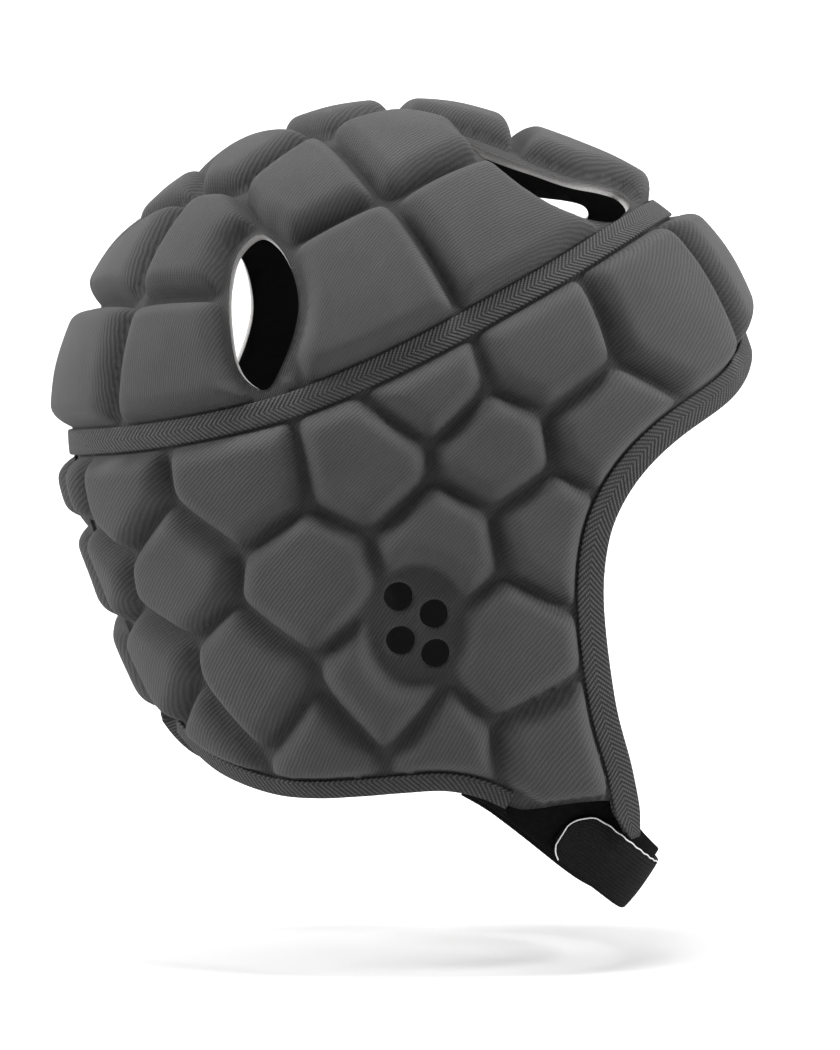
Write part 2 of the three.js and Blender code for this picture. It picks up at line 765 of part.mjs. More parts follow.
function flatBand(width, bottom, thickness, parts = 1) {
  const across = Array.from({ length: parts + 1 }, (_, i) => i / parts - 0.5);
  const topWidth = width - thickness / 2;
  return [
    ...across.map((share) => [share * width, bottom]),
    ...across.reverse().map((share) => [share * topWidth, bottom + thickness]),
  ];
}

// Maps from a direction to the flat, for cutting the webs into triangles

function mapFromTop(place) {
  const [round, rise] = angles(place);
  const turn = THREE.MathUtils.degToRad(round);
  return new THREE.Vector2((90 - rise) * Math.sin(turn), (90 - rise) * Math.cos(turn));
}

function mapFromBelow(place) {
  const [round, rise] = angles(place);
  const turn = THREE.MathUtils.degToRad(round);
  return new THREE.Vector2((90 + rise) * Math.sin(turn), (90 + rise) * Math.cos(turn));
}

// Crown

const crownOutline = seamRounds.map((round) => seamNear(round, SEAM_GAP / 2));
const vents = [sideVent, frontVent, sideVent.map(mirrored), frontVent.map(mirrored)];
const crown = paddedPanel(
  "crown", CLOTH_GREY, crownOutline, vents, buildPads(CROWN_PADS, crownEdges), mapFromTop,
);

// Side panel, one piece from the back round the forehead to the back

const gapRound = BACK_EDGE[BACK_EDGE.length - 1][0];
const rightTop = [
  ...seamRounds.filter((round) => round > 0 && round < gapRound - 1),
  gapRound,
].map((round) => seamNear(round, -SEAM_GAP / 2));
const rightEdges = [
  ...rightTop,
  ...[...backEdge].reverse().slice(1),
  ...[...lowerEdge].reverse().slice(1),
  ...[...faceEdge].reverse().slice(1, -1),
];
const sideOutline = [
  seamNear(0, -SEAM_GAP / 2),
  ...rightEdges,
  faceEdge[0],
  ...[...rightEdges].reverse().map(mirrored),
];

function earHole(place) {
  const centre = direction(place);
  return Array.from({ length: HOLE_STEPS }, (_, i) => (
    stepped(centre, (2 * Math.PI * i) / HOLE_STEPS, EAR_HOLE_DIAMETER / 2)
  ));
}

const earHoles = EAR_HOLES.map(earHole);
const sidePanel = paddedPanel(
  "side_panel", CLOTH_GREY, sideOutline, [...earHoles, ...earHoles.map((hole) => hole.map(mirrored))],
  buildPads(SIDE_PADS, sideEdges), mapFromBelow,
);

// Tape and bindings

// The face binding narrows at its two ends, to the width of the panel's corner there.

function bindingWidthAt(share) {
  const stepsToEnd = Math.min(share, 1 - share) * 2 * FACE_STEPS;
  return THREE.MathUtils.lerp(BINDING_END_SHARE, 1, Math.min(stepsToEnd, 1));
}

const seamTape = strip(
  "seam_tape", TAPE_GREY, seamRounds.map((round) => seamNear(round, 0)),
  flatBand(TAPE_WIDTH, WEB + CLEARANCE, TAPE_THICKNESS), true, 1,
);
const faceBinding = strip(
  "face_binding", TAPE_GREY, [...[...faceEdge].reverse(), ...faceEdge.slice(1).map(mirrored)],
  foldedBinding(BINDING_WIDTH), false, 1, bindingWidthAt,
);
const neckEdge = lowerEdge.filter((dir) => angles(dir)[0] > NECK_BINDING_START);
const neckBindingRight = strip(
  "neck_binding_right", TAPE_GREY, neckEdge, foldedBinding(NECK_BINDING_WIDTH), false, -1,
);
const neckBindingLeft = strip(
  "neck_binding_left", TAPE_GREY, neckEdge.map(mirrored), foldedBinding(NECK_BINDING_WIDTH), false, 1,
);

// Gusset behind the gap at the back

function gussetEdge(share) {
  const rise = THREE.MathUtils.lerp(GUSSET_RISE.top, GUSSET_RISE.bottom, share);
  const line = smoothLine(BACK_EDGE.map(([round, height]) => [round, height]), false);
  let edge = gapRound;
  for (let i = 0; i <= 100; i += 1) {
    const [round, height] = line(i / 100);
    if (height <= rise) edge = round;
  }
  return [edge - GUSSET_TUCK, rise];
}

function gusset() {
  const solid = new Solid();
  const across = 8;
  const layers = [-GUSSET_CLEARANCE, -GUSSET_CLEARANCE - GUSSET_THICKNESS].map((height) => (
    Array.from({ length: GUSSET_STEPS + 1 }, (_, i) => {
      const [edge, rise] = gussetEdge(i / GUSSET_STEPS);
      return Array.from({ length: across + 1 }, (__, j) => {
        const round = THREE.MathUtils.lerp(edge, 360 - edge, j / across);
        return solid.add(above(direction([round, rise]), height));
      });
    })
  ));
  layers.forEach((grid, side) => {
    for (let i = 0; i < GUSSET_STEPS; i += 1) {
      for (let j = 0; j < across; j += 1) {
        const corners = [grid[i][j], grid[i][j + 1], grid[i + 1][j + 1], grid[i + 1][j]];
        if (side === 1) corners.reverse();
        solid.face(corners[0], corners[1], corners[2]);
        solid.face(corners[0], corners[2], corners[3]);
      }
    }
  });
  const rim = (grid) => [
    ...grid[0].slice(0, -1),
    ...grid.slice(0, -1).map((row) => row[across]),
    ...[...grid[GUSSET_STEPS]].reverse().slice(0, -1),
    ...[...grid].reverse().slice(0, -1).map((row) => row[0]),
  ];
  solid.loops(rim(layers[1]), rim(layers[0]));
  return solid.mesh("back_gusset", MESH_GREY);
}

// Chin tab and strap. The strap is sewn in under the left side's corner, goes round under
// the chin and lies on the tab of the right side.

const tabTop = -LINING_CLEARANCE - BINDING_THICKNESS - 2 * CLEARANCE;
const tabLine = alongLine(TAB_LINE, TAB_STEPS);
const tabSection = flatBand(TAB_WIDTH, tabTop - TAB_THICKNESS, TAB_THICKNESS, STRAP_PARTS);
const chinTab = strip("chin_tab", FASTENER_BLACK, tabLine, tabSection, false, 1);
const strapLine = alongLine(STRAP_LINE, STRAP_STEPS);
const strapSection = flatBand(STRAP_WIDTH, tabTop - STRAP_THICKNESS, STRAP_THICKNESS, STRAP_PARTS);
const strapPlaces = onHead(strapLine);
const strapStep = strapPlaces[1].distanceTo(strapPlaces[0]);

function strapWidthAt(share) {
  const toEnd = Math.min((share * STRAP_STEPS * strapStep) / (STRAP_WIDTH / 2), 1);
  return Math.max(Math.sqrt(1 - (1 - toEnd) ** 2), 0.15);
}

function strapLiftAt(share) {
  return (CLEARANCE + STRAP_THICKNESS) * (1 - THREE.MathUtils.smoothstep(share, 0.43, 0.6));
}

const chinStrap = strip(
  "chin_strap", FASTENER_BLACK, strapLine, strapSection, false, 1, strapWidthAt, strapLiftAt,
);

// The whole cap

const scrumCap = new THREE.Group();
scrumCap.add(
  crown, sidePanel, seamTape, faceBinding, neckBindingRight, neckBindingLeft,
  gusset(), chinTab, chinStrap,
);

export default scrumCap;
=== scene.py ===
# Looks for the rugby scrum cap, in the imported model's frame.
#
# The head's shape, the edges and the pads are those of the CAD part, made here in fine meshes.
# Lengths on the cap are in millimetres from the head's middle: to the right ear, forward, up.
# Places on it are two angles in degrees: round, from the front (0) past the right ear (90) to
# the back (180), and rise, above the level through the head's middle.

import math

import bmesh
import bpy
import numpy as np
from mathutils import Matrix, Vector
from mathutils.geometry import delaunay_2d_cdt


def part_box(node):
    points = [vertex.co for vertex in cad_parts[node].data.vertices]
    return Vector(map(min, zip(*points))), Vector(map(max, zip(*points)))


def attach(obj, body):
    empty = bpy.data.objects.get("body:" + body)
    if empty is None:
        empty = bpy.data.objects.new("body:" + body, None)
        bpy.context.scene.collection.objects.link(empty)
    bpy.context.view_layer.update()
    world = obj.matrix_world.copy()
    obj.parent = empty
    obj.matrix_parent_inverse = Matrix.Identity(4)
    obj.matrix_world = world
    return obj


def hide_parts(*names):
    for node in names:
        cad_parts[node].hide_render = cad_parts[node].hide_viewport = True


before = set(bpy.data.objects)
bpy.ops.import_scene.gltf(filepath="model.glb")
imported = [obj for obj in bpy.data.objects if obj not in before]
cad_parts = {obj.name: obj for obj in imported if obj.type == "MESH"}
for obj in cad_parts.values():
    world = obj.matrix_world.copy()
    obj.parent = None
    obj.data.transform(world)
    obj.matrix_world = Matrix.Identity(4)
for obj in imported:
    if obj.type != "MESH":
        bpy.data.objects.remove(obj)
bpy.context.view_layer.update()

# Sizes that the part has too

HEAD_HALF_WIDTH = 77.0
HEAD_REACH = 96.0
WEB = 2.5
PAD_RISE = 7.5
SHOULDER_POWER = 2.3
PAD_GROOVE = 1.8
CORNER_SHARPNESS = 0.9
SEAM_GAP = 0.4
CLEARANCE = 0.3
LINING_CLEARANCE = 0.6
TAPE_WIDTH = 7.4
TAPE_THICKNESS = 1.1
BINDING_WIDTH = 7.3
NECK_BINDING_WIDTH = 4.5
BINDING_THICKNESS = 0.9
PAD_TO_TRIM = 0.6
PAD_TO_BACK_EDGE = 1.5
PAD_TO_VENT = 2.5
PAD_TO_EAR_PLATE = 0.4
PAD_TO_TAB = 1.5
EAR_PLATE_HALF = (14.0, 17.0)
EAR_HOLE_DIAMETER = 8.8
STRAP_WIDTH = 19.0
STRAP_THICKNESS = 1.6
TAB_WIDTH = 22.0
TAB_THICKNESS = 1.5
GUSSET_THICKNESS = 1.0
GUSSET_CLEARANCE = 0.9
GUSSET_TUCK = 3.0
GUSSET_RISE = (-3.0, -33.0)

# Sizes of the cloth alone

CLOTH_SHOULDER = 6.6    # the cloth is drawn tighter round a pad than the solid shows
PAD_DOME = 0.5          # how much a pad swells from its shoulder to its middle
DOME_REACH = 16.0
RIPPLE_FADE = 3.0       # the cloth's swells grow over this much from a pad's foot
RIPPLE_RADIUS = 90.0
NECK_BINDING_INSET = 1.5    # degrees that the braid starts inside its solid's end
TAB_FULLNESS = 1.06     # the pile spreads a little past the tab's woven base
TAB_SEWN_WIDTH = 0.35   # share of its width where the tab is sewn under the panel
TAB_SPREAD = 0.3        # share of its length over which it widens
STRAP_END_WIDTH = 0.15  # share of its width at the very end
STRAP_LEAVES_TAB = (0.43, 0.6)  # shares of its length between which it comes off the tab
THREAD_RADIUS = 0.22
THREAD_RUN = 0.3        # share of the strap's length that the pale thread follows
THREAD_START = 0.004
THREAD_EDGES = ((-1, 0.1), (1, 1.0))    # side of the strap, and share of the run on it
THREAD_RAISED = 0.6     # of its radius, above the strap
THREAD_WANDER = 0.12
THREAD_WANDER_RATE = 1.1

# Mesh steps, in millimetres where nothing else is said

CROWN_STEP = 1.2
SIDE_STEP = 1.3
LINING_STEP = 6.0
LOOP_STEP = 1.2
STRIP_STEP = 2.0
EDGE_STEP = 5.0         # of the lines that distances are taken from
BACK_EDGE_STEP = 8.0
VENT_STEP = 4.0
SEAM_TURN = 4.0         # degrees
MIDDLE_OVERLAP = 8.0    # how far the face edge's line runs past the middle plane
CROWN_RISES = (-4.0, 90.0)      # degrees between which each panel lies
SIDE_RISES = (-60.0, 42.0)
NORMAL_STEP = 0.05
SLOPE_STEP = 0.15
RISE_STEP = 0.5         # degrees
LEAST_STEEPNESS = 0.25
LEAST_SLOPE = 1e-6
ALMOST_UP = (0.001, 0.002, 1.0)     # never along a normal, so that its cross has a length
LINE_SAMPLES = 1200
SEAM_SAMPLES = 500
WHOLE_ROUND = np.linspace(-180, 179, 360)
ROW_SPACING = 0.87      # rows of places lie closer than the places in a row
ROW_SCALE = 1.75        # millimetres a degree
INNER_GAP = 0.7         # shares of a step that inner places keep from an outline
SNAPPED_GAP = 0.4       # the same, once they have moved onto the pads' feet
FOOT_REACH = 0.6        # share of a step within which a place moves onto a pad's foot
BATCH = 4000            # places whose distances are worked out together
SAME_PLACE = 1e-7
FAR = 1e3
# range of the pads' shoulder share kept for the knit's painted shade in the grooves
GROOVE_SHADE_RANGE = (-0.2, 1.5)
HOLE_SIDES = 24
ROUNDED_SHARE = 0.45    # of a section's shorter side, at most
FOLD_RADIUS = 0.7
FOLD_SPACING = 1.3      # between a folded section's points
FLAT_SPACING = 1.5
INNER_FOLD_SHORTER = 1.0
THREAD_STEPS = 80
THREAD_SIDES = 6
GUSSET_ROWS = 40
GUSSET_COLUMNS = 30

# The cloth's coordinates, in millimetres a degree

SIDE_CLOTH_SCALE = (1.35, 1.75)
CROWN_CLOTH_SCALE = 1.65
GUSSET_CLOTH_SCALE = (1.5, 1.7)

# The middle plane's outline: angle above forward, share of HEAD_REACH, power that rounds it

HEAD_SECTION = [
    (-180, 1.03, 2.2), (-165, 1.015, 2.2), (-150, 1.035, 2.2), (-132, 1.155, 2.4),
    (-110, 1.44, 2.7), (-90, 1.665, 3.0), (-68, 1.75, 3.0), (-58, 1.635, 3.0),
    (-40, 1.395, 2.8), (-15, 1.21, 2.6), (14, 1.155, 2.5), (35, 1.12, 2.4),
    (60, 1.01, 2.2), (90, 0.985, 2.1), (120, 0.975, 2.1), (150, 1.01, 2.2),
]

# Lines on the cap: (round, rise)

SEAM = [
    (0, 39.5), (15, 39.2), (30, 38), (45, 35.2), (60, 31), (75, 25.8), (90, 19),
    (105, 11.7), (120, 5.3), (135, 1.3), (150, -1), (165, -1.8), (180, -2),
]
FACE_EDGE = [
    (0, 14.5), (9, 13.5), (17, 11), (27, 6), (39, 0), (47, -7), (52.5, -16), (54.5, -25),
    (54, -34), (51, -43), (46, -49), (42.5, -52.5), (40, -55),
]
LOWER_EDGE = [
    (40, -55), (43.5, -53.4), (48, -52.8), (53, -53.8), (58, -55.2), (63, -56.6), (68, -57.4),
    (76, -57), (85, -57), (95, -57.6), (106, -58.2), (118, -58.5), (129, -58), (144, -56),
    (153, -53.8), (160, -51.5),
]
BACK_EDGE = [(160, -51.5), (166, -43), (170, -34), (173, -24), (175, -13), (175.8, -2)]
SIDE_VENT = [
    (134, 40.5), (128, 38.5), (123, 33.5), (120, 27), (120, 20), (122, 13), (124.5, 8.5),
    (128, 9.5), (131, 13), (133.5, 20), (136, 28.5), (137, 36),
]
FRONT_VENT = [
    (60, 68), (55, 64), (49, 60), (43, 56.5), (35, 51), (27, 47.5), (24, 45), (27, 42),
    (33, 40.2), (39, 39.3), (45, 42), (51.5, 47.5), (56.5, 54), (59.5, 61),
]
EAR_PLATE = (93, -37.2)
EAR_HOLES = [(97, -32.8), (89, -35.6), (96.5, -39.6), (88.5, -41.4)]
TAB_LINE = [
    (69, -57), (60, -56.5), (52, -56.8), (44, -57.6), (36, -58.8), (28, -59.8), (20, -60.6),
]
STRAP_LINE = [
    (56, -58.4), (50, -58.4), (44, -58.9), (36, -59.7), (26, -60.6), (13, -61.3), (0, -61.5),
    (-13, -61.3), (-26, -60.4), (-37, -59.2), (-46, -58), (-54, -57), (-62, -56.5),
]
NECK_BINDING_START = 68.0
TAB_EDGE_END = 62.0
FACE_STEPS = 24         # of one side's face binding, which narrows over the last of them
BINDING_END_SHARE = 0.4

# Pads: name, round, rise, and whether the pad crosses the middle plane

CROWN_PADS = [
    ("front", 0, 57, True), ("top_front", 0, 80, True), ("top_back", 180, 79, True),
    ("rear_upper", 163, 58.5, True), ("rear_small", 180, 46, True),
    ("rear_middle", 167, 34, True), ("rear_lower", 166, 12, True),
    ("rear_flank_upper", 149.5, 36, False), ("rear_flank_lower", 145.5, 13, False),
    ("top_flank_back", 127, 54, False), ("top_flank_front", 97, 66, False),
    ("temple_back", 104.5, 35, False), ("temple_front", 76, 46, False),
]
SIDE_PADS = [
    ("brow_inner", 12.5, 25, False), ("brow_outer", 39, 21, False),
    ("upper_front", 65, 17, False), ("upper_back", 91, 11, False),
    ("cheek_upper", 53, -1, False), ("middle_front", 76, -4.5, False),
    ("middle_back", 104, -6.5, False), ("rear_high", 130.5, -10.5, False),
    ("cheek_middle", 64, -20, False), ("nape_high", 158, -10.5, False),
    ("nape_edge", 174.5, -9, False), ("nape_low_edge", 171, -25, False),
    ("nape_low", 145, -26, False), ("ear_back", 117, -30, False),
    ("ear_top", 87, -24.5, False), ("cheek_lower", 72, -40, False),
    ("ear_below", 100.5, -46, False), ("neck_edge", 157, -44, False),
    ("neck_upper", 130, -44.5, False), ("neck_rear", 144, -53, False),
    ("neck_middle", 114, -55, False), ("neck_front", 86, -55.5, False),
    ("chin_corner", 61, -51, False),
]

# Smooth lines through a few chosen points


def smooth_line(points, closed=False):
    rows = np.array(points, float)
    spans = len(rows) if closed else len(rows) - 1

    def at(share):
        place = np.clip(np.asarray(share, float), 0, 1) * spans
        span = np.minimum(np.floor(place).astype(int), spans - 1)
        t = (place - span)[..., None]

        def pick(index):
            if closed:
                return rows[index % len(rows)]
            return rows[np.clip(index, 0, len(rows) - 1)]

        before, start, end, after = (pick(span + k) for k in (-1, 0, 1, 2))
        return 0.5 * (
            2 * start + (end - before) * t
            + (2 * before - 5 * start + 4 * end - after) * t**2
            + (3 * start - before - 3 * end + after) * t**3
        )

    return at


# Head shape


def section_at(angle):
    table = np.array(HEAD_SECTION, float)
    count = len(table)
    turned = (angle + 180) % 360 - 180
    row = np.searchsorted(table[:, 0], turned, side="right") - 1

    def entry(index):
        picked = table[index % count].copy()
        picked[..., 0] += 360 * (index // count)
        return picked

    before, start, end, after = (entry(row + k) for k in (-1, 0, 1, 2))
    width = (end[..., 0] - start[..., 0])[..., None]
    t = ((turned - start[..., 0]) / width[..., 0])[..., None]
    slope_from = (end - before) / (end[..., :1] - before[..., :1])
    slope_to = (after - start) / (after[..., :1] - start[..., :1])
    ease = t * t * (3 - 2 * t)
    mixed = (
        (1 - ease) * start + ease * end
        + (t**3 - 2 * t**2 + t) * slope_from * width + (t**3 - t**2) * slope_to * width
    )
    return mixed[..., 1] * HEAD_REACH, mixed[..., 2]


def level(places):
    reach, square = section_at(np.degrees(np.arctan2(places[..., 2], places[..., 1])))
    side = np.abs(places[..., 0]) / HEAD_HALF_WIDTH
    middle = np.hypot(places[..., 1], places[..., 2]) / reach
    return (side**square + middle**square) ** (1 / square)


def direction(rounds, rises):
    turn = np.radians(rounds)
    lift = np.radians(rises)
    return np.stack([np.sin(turn) * np.cos(lift), np.cos(turn) * np.cos(lift), np.sin(lift)], -1)


def angles(places):
    unit = unit_of(places)
    return (
        np.degrees(np.arctan2(unit[..., 0], unit[..., 1])),
        np.degrees(np.arcsin(np.clip(unit[..., 2], -1, 1))),
    )


def unit_of(places):
    return places / np.linalg.norm(places, axis=-1, keepdims=True)


def head_point(places):
    return places / level(places)[..., None]


def head_normal(feet):
    slopes = []
    for axis in range(3):
        shift = np.zeros(3)
        shift[axis] = NORMAL_STEP
        slopes.append(level(feet + shift) - level(feet - shift))
    return unit_of(np.stack(slopes, -1))


def above(places, height):
    feet = head_point(places)
    return feet + head_normal(feet) * np.asarray(height)[..., None]


def mirrored(places):
    return places * np.array([-1, 1, 1])


CROWN_TOP = head_point(direction(np.array([0.0]), np.array([90.0])))[0, 2]


def to_row(places):
    """Head millimetres to metres in the row frame."""
    return np.stack([-places[..., 0], -places[..., 1], places[..., 2] - CROWN_TOP], -1) / 1000


# Lines as rows of directions, evenly spaced


def along(points, step, closed=False):
    line = smooth_line(points, closed)(np.linspace(0, 1, LINE_SAMPLES))
    feet = head_point(direction(line[:, 0], line[:, 1]))
    return even(feet, step, closed)


def even(feet, step, closed=False):
    """Unit directions every step millimetres along a row of feet."""
    travelled = np.concatenate([[0], np.cumsum(np.linalg.norm(np.diff(feet, axis=0), axis=1))])
    count = max(2, round(travelled[-1] / step))
    goals = np.linspace(0, travelled[-1], count + 1)
    if closed:
        goals = goals[:-1]
    placed = np.stack([np.interp(goals, travelled, feet[:, k]) for k in range(3)], -1)
    return unit_of(placed)


seam_line = smooth_line([(rise, 0) for _, rise in SEAM])


def seam_rise(rounds):
    return seam_line(np.abs(rounds) / 180)[..., 0]


def seam_near(rounds, offset):
    rises = seam_rise(rounds)
    middle = head_point(direction(rounds, rises))
    higher = head_point(direction(rounds, rises + RISE_STEP))
    lift = np.linalg.norm(higher - middle, axis=-1) / RISE_STEP
    return direction(rounds, rises + offset / lift)


FACE_BOTH_SIDES = [(-r, e) for r, e in reversed(FACE_EDGE[1:])] + FACE_EDGE


# Distances over the cap, in millimetres


def distance_to_line(feet, line):
    nearest = np.full(len(feet), np.inf)
    for start, end in zip(line[:-1], line[1:]):
        span = end - start
        share = np.clip((feet - start) @ span / (span @ span), 0, 1)
        gap = np.linalg.norm(feet - start - share[:, None] * span, axis=1)
        nearest = np.minimum(nearest, gap)
    return nearest


def closed_feet(line):
    feet = head_point(line)
    return np.vstack([feet, feet[:1]])


face_feet = head_point(along(FACE_BOTH_SIDES, EDGE_STEP))
face_feet = face_feet[face_feet[:, 0] > -MIDDLE_OVERLAP]
lower_feet = head_point(along(LOWER_EDGE, EDGE_STEP))
back_feet = head_point(along(BACK_EDGE, BACK_EDGE_STEP))
seam_rounds = np.arange(0, 181, SEAM_TURN)
seam_feet = head_point(direction(seam_rounds, seam_rise(seam_rounds)))
vent_feet = [closed_feet(along(vent, VENT_STEP, True)) for vent in (SIDE_VENT, FRONT_VENT)]
plate_centre = head_point(direction(*[np.array([float(a)]) for a in EAR_PLATE]))
plate_normal = head_normal(plate_centre)[0]
plate_across = unit_of(np.cross([0, 0, 1], plate_normal))
plate_up = np.cross(plate_normal, plate_across)


def ear_plate_distance(feet):
    across = (feet - plate_centre) @ plate_across / EAR_PLATE_HALF[0]
    up = (feet - plate_centre) @ plate_up / EAR_PLATE_HALF[1]
    return (np.hypot(across, up) - 1) * sum(EAR_PLATE_HALF) / 2


def crown_edges(feet):
    return [
        distance_to_line(feet, seam_feet) - TAPE_WIDTH / 2 - PAD_TO_TRIM,
        distance_to_line(feet, vent_feet[0]) - PAD_TO_VENT,
        distance_to_line(feet, vent_feet[1]) - PAD_TO_VENT,
    ]


def side_edges(feet):
    rounds, _ = angles(feet)
    t = np.clip((rounds - TAB_EDGE_END) / (NECK_BINDING_START - TAB_EDGE_END), 0, 1)
    bound = t * t * (3 - 2 * t)
    lower_margin = PAD_TO_TAB + bound * (NECK_BINDING_WIDTH + PAD_TO_TRIM - PAD_TO_TAB)
    return [
        distance_to_line(feet, seam_feet) - TAPE_WIDTH / 2 - PAD_TO_TRIM,
        distance_to_line(feet, face_feet) - BINDING_WIDTH - PAD_TO_TRIM,
        distance_to_line(feet, lower_feet) - lower_margin,
        distance_to_line(feet, back_feet) - PAD_TO_BACK_EDGE,
        ear_plate_distance(feet) - PAD_TO_EAR_PLATE,
    ]


# Pads


def pad_sites(rows):
    names = []
    sites = []
    for name, turn, rise, middle in rows:
        site = direction(float(turn), float(rise))
        names.append(name)
        sites.append(site)
        if turn % 180:
            names.append(name if middle else name + "_left")
            sites.append(mirrored(site))
    return np.array(names), np.array(sites)


def pad_clearance(units, rows, edges):
    """Millimetres from each place to its own pad's foot, less than nothing outside it."""
    names, sites = pad_sites(rows)
    _, numbers = np.unique(names, return_inverse=True)
    feet = head_point(units)
    normal = head_normal(feet)
    reach = np.linalg.norm(feet, axis=1)
    near = units @ sites.T
    own = near.argmax(axis=1)
    right_feet = feet * np.where(feet[:, :1] < 0, [-1, 1, 1], [1, 1, 1])
    clear = edges(right_feet)
    for index in range(len(sites)):
        apart = sites[own] - sites[index]
        ahead = (units * apart).sum(axis=1)
        slope = (apart - units * ahead[:, None]) / reach[:, None]
        slope -= normal * (slope * normal).sum(axis=1)[:, None]
        steep = np.maximum(np.linalg.norm(slope, axis=1), LEAST_SLOPE)
        gap = ahead / steep - PAD_GROOVE / 2
        clear.append(np.where(numbers[own] == numbers[index], FAR, gap))
    clear = np.array(clear)
    least = clear.min(axis=0)
    crowd = np.exp(-CORNER_SHARPNESS * (clear - least)).sum(axis=0)
    return least - np.log(crowd) / CORNER_SHARPNESS


def pad_height(clear):
    share = np.clip(clear / CLOTH_SHOULDER, 0, 1)
    dome = PAD_DOME * np.clip(clear / DOME_REACH, 0, 1)
    return (PAD_RISE - PAD_DOME) * (1 - (1 - share) ** SHOULDER_POWER) + dome


def onto_pad_feet(units, rows, edges, reach):
    """Moves the places that lie near a pad's foot onto it, so that the creases are sharp."""
    clear = pad_clearance(units, rows, edges)
    near = np.abs(clear) < reach
    feet = head_point(units[near])
    normal = head_normal(feet)
    across = unit_of(np.cross(ALMOST_UP, normal))
    up = np.cross(normal, across)
    slopes = []
    for axis in (across, up):
        ahead = pad_clearance(unit_of(feet + SLOPE_STEP * axis), rows, edges)
        behind = pad_clearance(unit_of(feet - SLOPE_STEP * axis), rows, edges)
        slopes.append((ahead - behind) / (2 * SLOPE_STEP))
    steep = slopes[0] ** 2 + slopes[1] ** 2
    push = -clear[near] / np.maximum(steep, LEAST_STEEPNESS)
    moved = feet + across * (push * slopes[0])[:, None] + up * (push * slopes[1])[:, None]
    result = units.copy()
    result[near] = unit_of(moved)
    return result


# Flat maps that keep shapes, for cutting a panel into triangles


def map_from_top(units):
    rounds, rises = angles(units)
    out = np.tan(np.radians(90 - rises) / 2)
    turn = np.radians(rounds)
    return np.stack([out * np.sin(turn), out * np.cos(turn)], -1)


def map_round(units):
    rounds, rises = angles(units)
    return np.stack([np.radians(rounds), np.arcsinh(np.tan(np.radians(rises)))], -1)


def inside_loop(flat, loop):
    hit = np.zeros(len(flat), bool)
    x, y = flat[:, 0], flat[:, 1]
    for (ax, ay), (bx, by) in zip(loop, np.roll(loop, -1, axis=0)):
        if ay == by:
            continue
        spans = (ay > y) != (by > y)
        hit ^= spans & (x < (bx - ax) * (y - ay) / (by - ay) + ax)
    return hit


def rows_of_places(low, high, step):
    """Places in rows round the head, step millimetres apart."""
    rises = np.arange(low, high, step * ROW_SPACING / ROW_SCALE)
    rounds = np.linspace(-180, 180, 361)
    places = []
    for number, rise in enumerate(rises):
        feet = head_point(direction(rounds, np.full(len(rounds), rise)))
        travelled = np.concatenate([[0], np.cumsum(np.linalg.norm(np.diff(feet, axis=0), axis=1))])
        count = max(3, round(travelled[-1] / step))
        goals = (np.arange(count) + 0.5 * (number % 2)) / count * travelled[-1]
        places.append(direction(np.interp(goals, travelled, rounds), np.full(count, rise)))
    return np.vstack(places)


def cut_panel(loops, units, to_map):
    """Triangles between an outline, its holes and the given places: all places, triangles."""
    border = np.vstack(loops)
    everything = np.vstack([border, units])
    flat = to_map(everything)
    edges = []
    start = 0
    for loop in loops:
        count = len(loop)
        edges += [(start + i, start + (i + 1) % count) for i in range(count)]
        start += count
    corners = [Vector(place) for place in flat.tolist()]
    cut = delaunay_2d_cdt(corners, edges, [], 0, SAME_PLACE, True)
    placed = np.array([tuple(place) for place in cut[0]])
    faces = np.array([tuple(face) for face in cut[2]])
    origins = [row[0] if row else -1 for row in cut[3]]
    middle = placed[faces].mean(axis=1)
    start = 0
    keep = np.ones(len(faces), bool)
    for number, loop in enumerate(loops):
        inside = inside_loop(middle, flat[start:start + len(loop)])
        keep &= inside if number == 0 else ~inside
        start += len(loop)
    back = np.array(origins)[faces[keep]]
    return everything, back[(back >= 0).all(axis=1)]


def new_mesh(name, places, faces, materials, face_materials=None, uv=None, shade_mask_values=None):
    mesh = bpy.data.meshes.new(name)
    mesh.from_pydata(to_row(places).tolist(), [], [tuple(face) for face in faces])
    for material in materials:
        mesh.materials.append(material)
    if face_materials is not None:
        mesh.polygons.foreach_set("material_index", np.asarray(face_materials, np.int32))
    mesh.polygons.foreach_set("use_smooth", [True] * len(mesh.polygons))
    if uv is not None:
        layer = mesh.uv_layers.new(name="cloth")
        corners = np.empty(len(mesh.loops), np.int32)
        mesh.loops.foreach_get("vertex_index", corners)
        layer.data.foreach_set("uv", uv[corners].ravel())
    # the pads' shoulder share at each point, which the knit reads to paint shade into its grooves
    if shade_mask_values is not None:
        layer = mesh.attributes.new("groove_shade_mask", "FLOAT", "POINT")
        layer.data.foreach_set("value", shade_mask_values.astype(np.float32))
    mesh.validate()
    piece = bpy.data.objects.new(name, mesh)
    bpy.context.scene.collection.objects.link(piece)
    return piece


def away_from(units, loops, gap):
    """The places that keep at least gap millimetres from every loop's points."""
    feet = head_point(units)
    keep = np.ones(len(units), bool)
    for loop in loops:
        points = head_point(loop)
        for start in range(0, len(feet), BATCH):
            part = feet[start:start + BATCH]
            apart = np.linalg.norm(part[:, None] - points[None], axis=2).min(axis=1)
            keep[start:start + BATCH] &= apart > gap
    return units[keep]


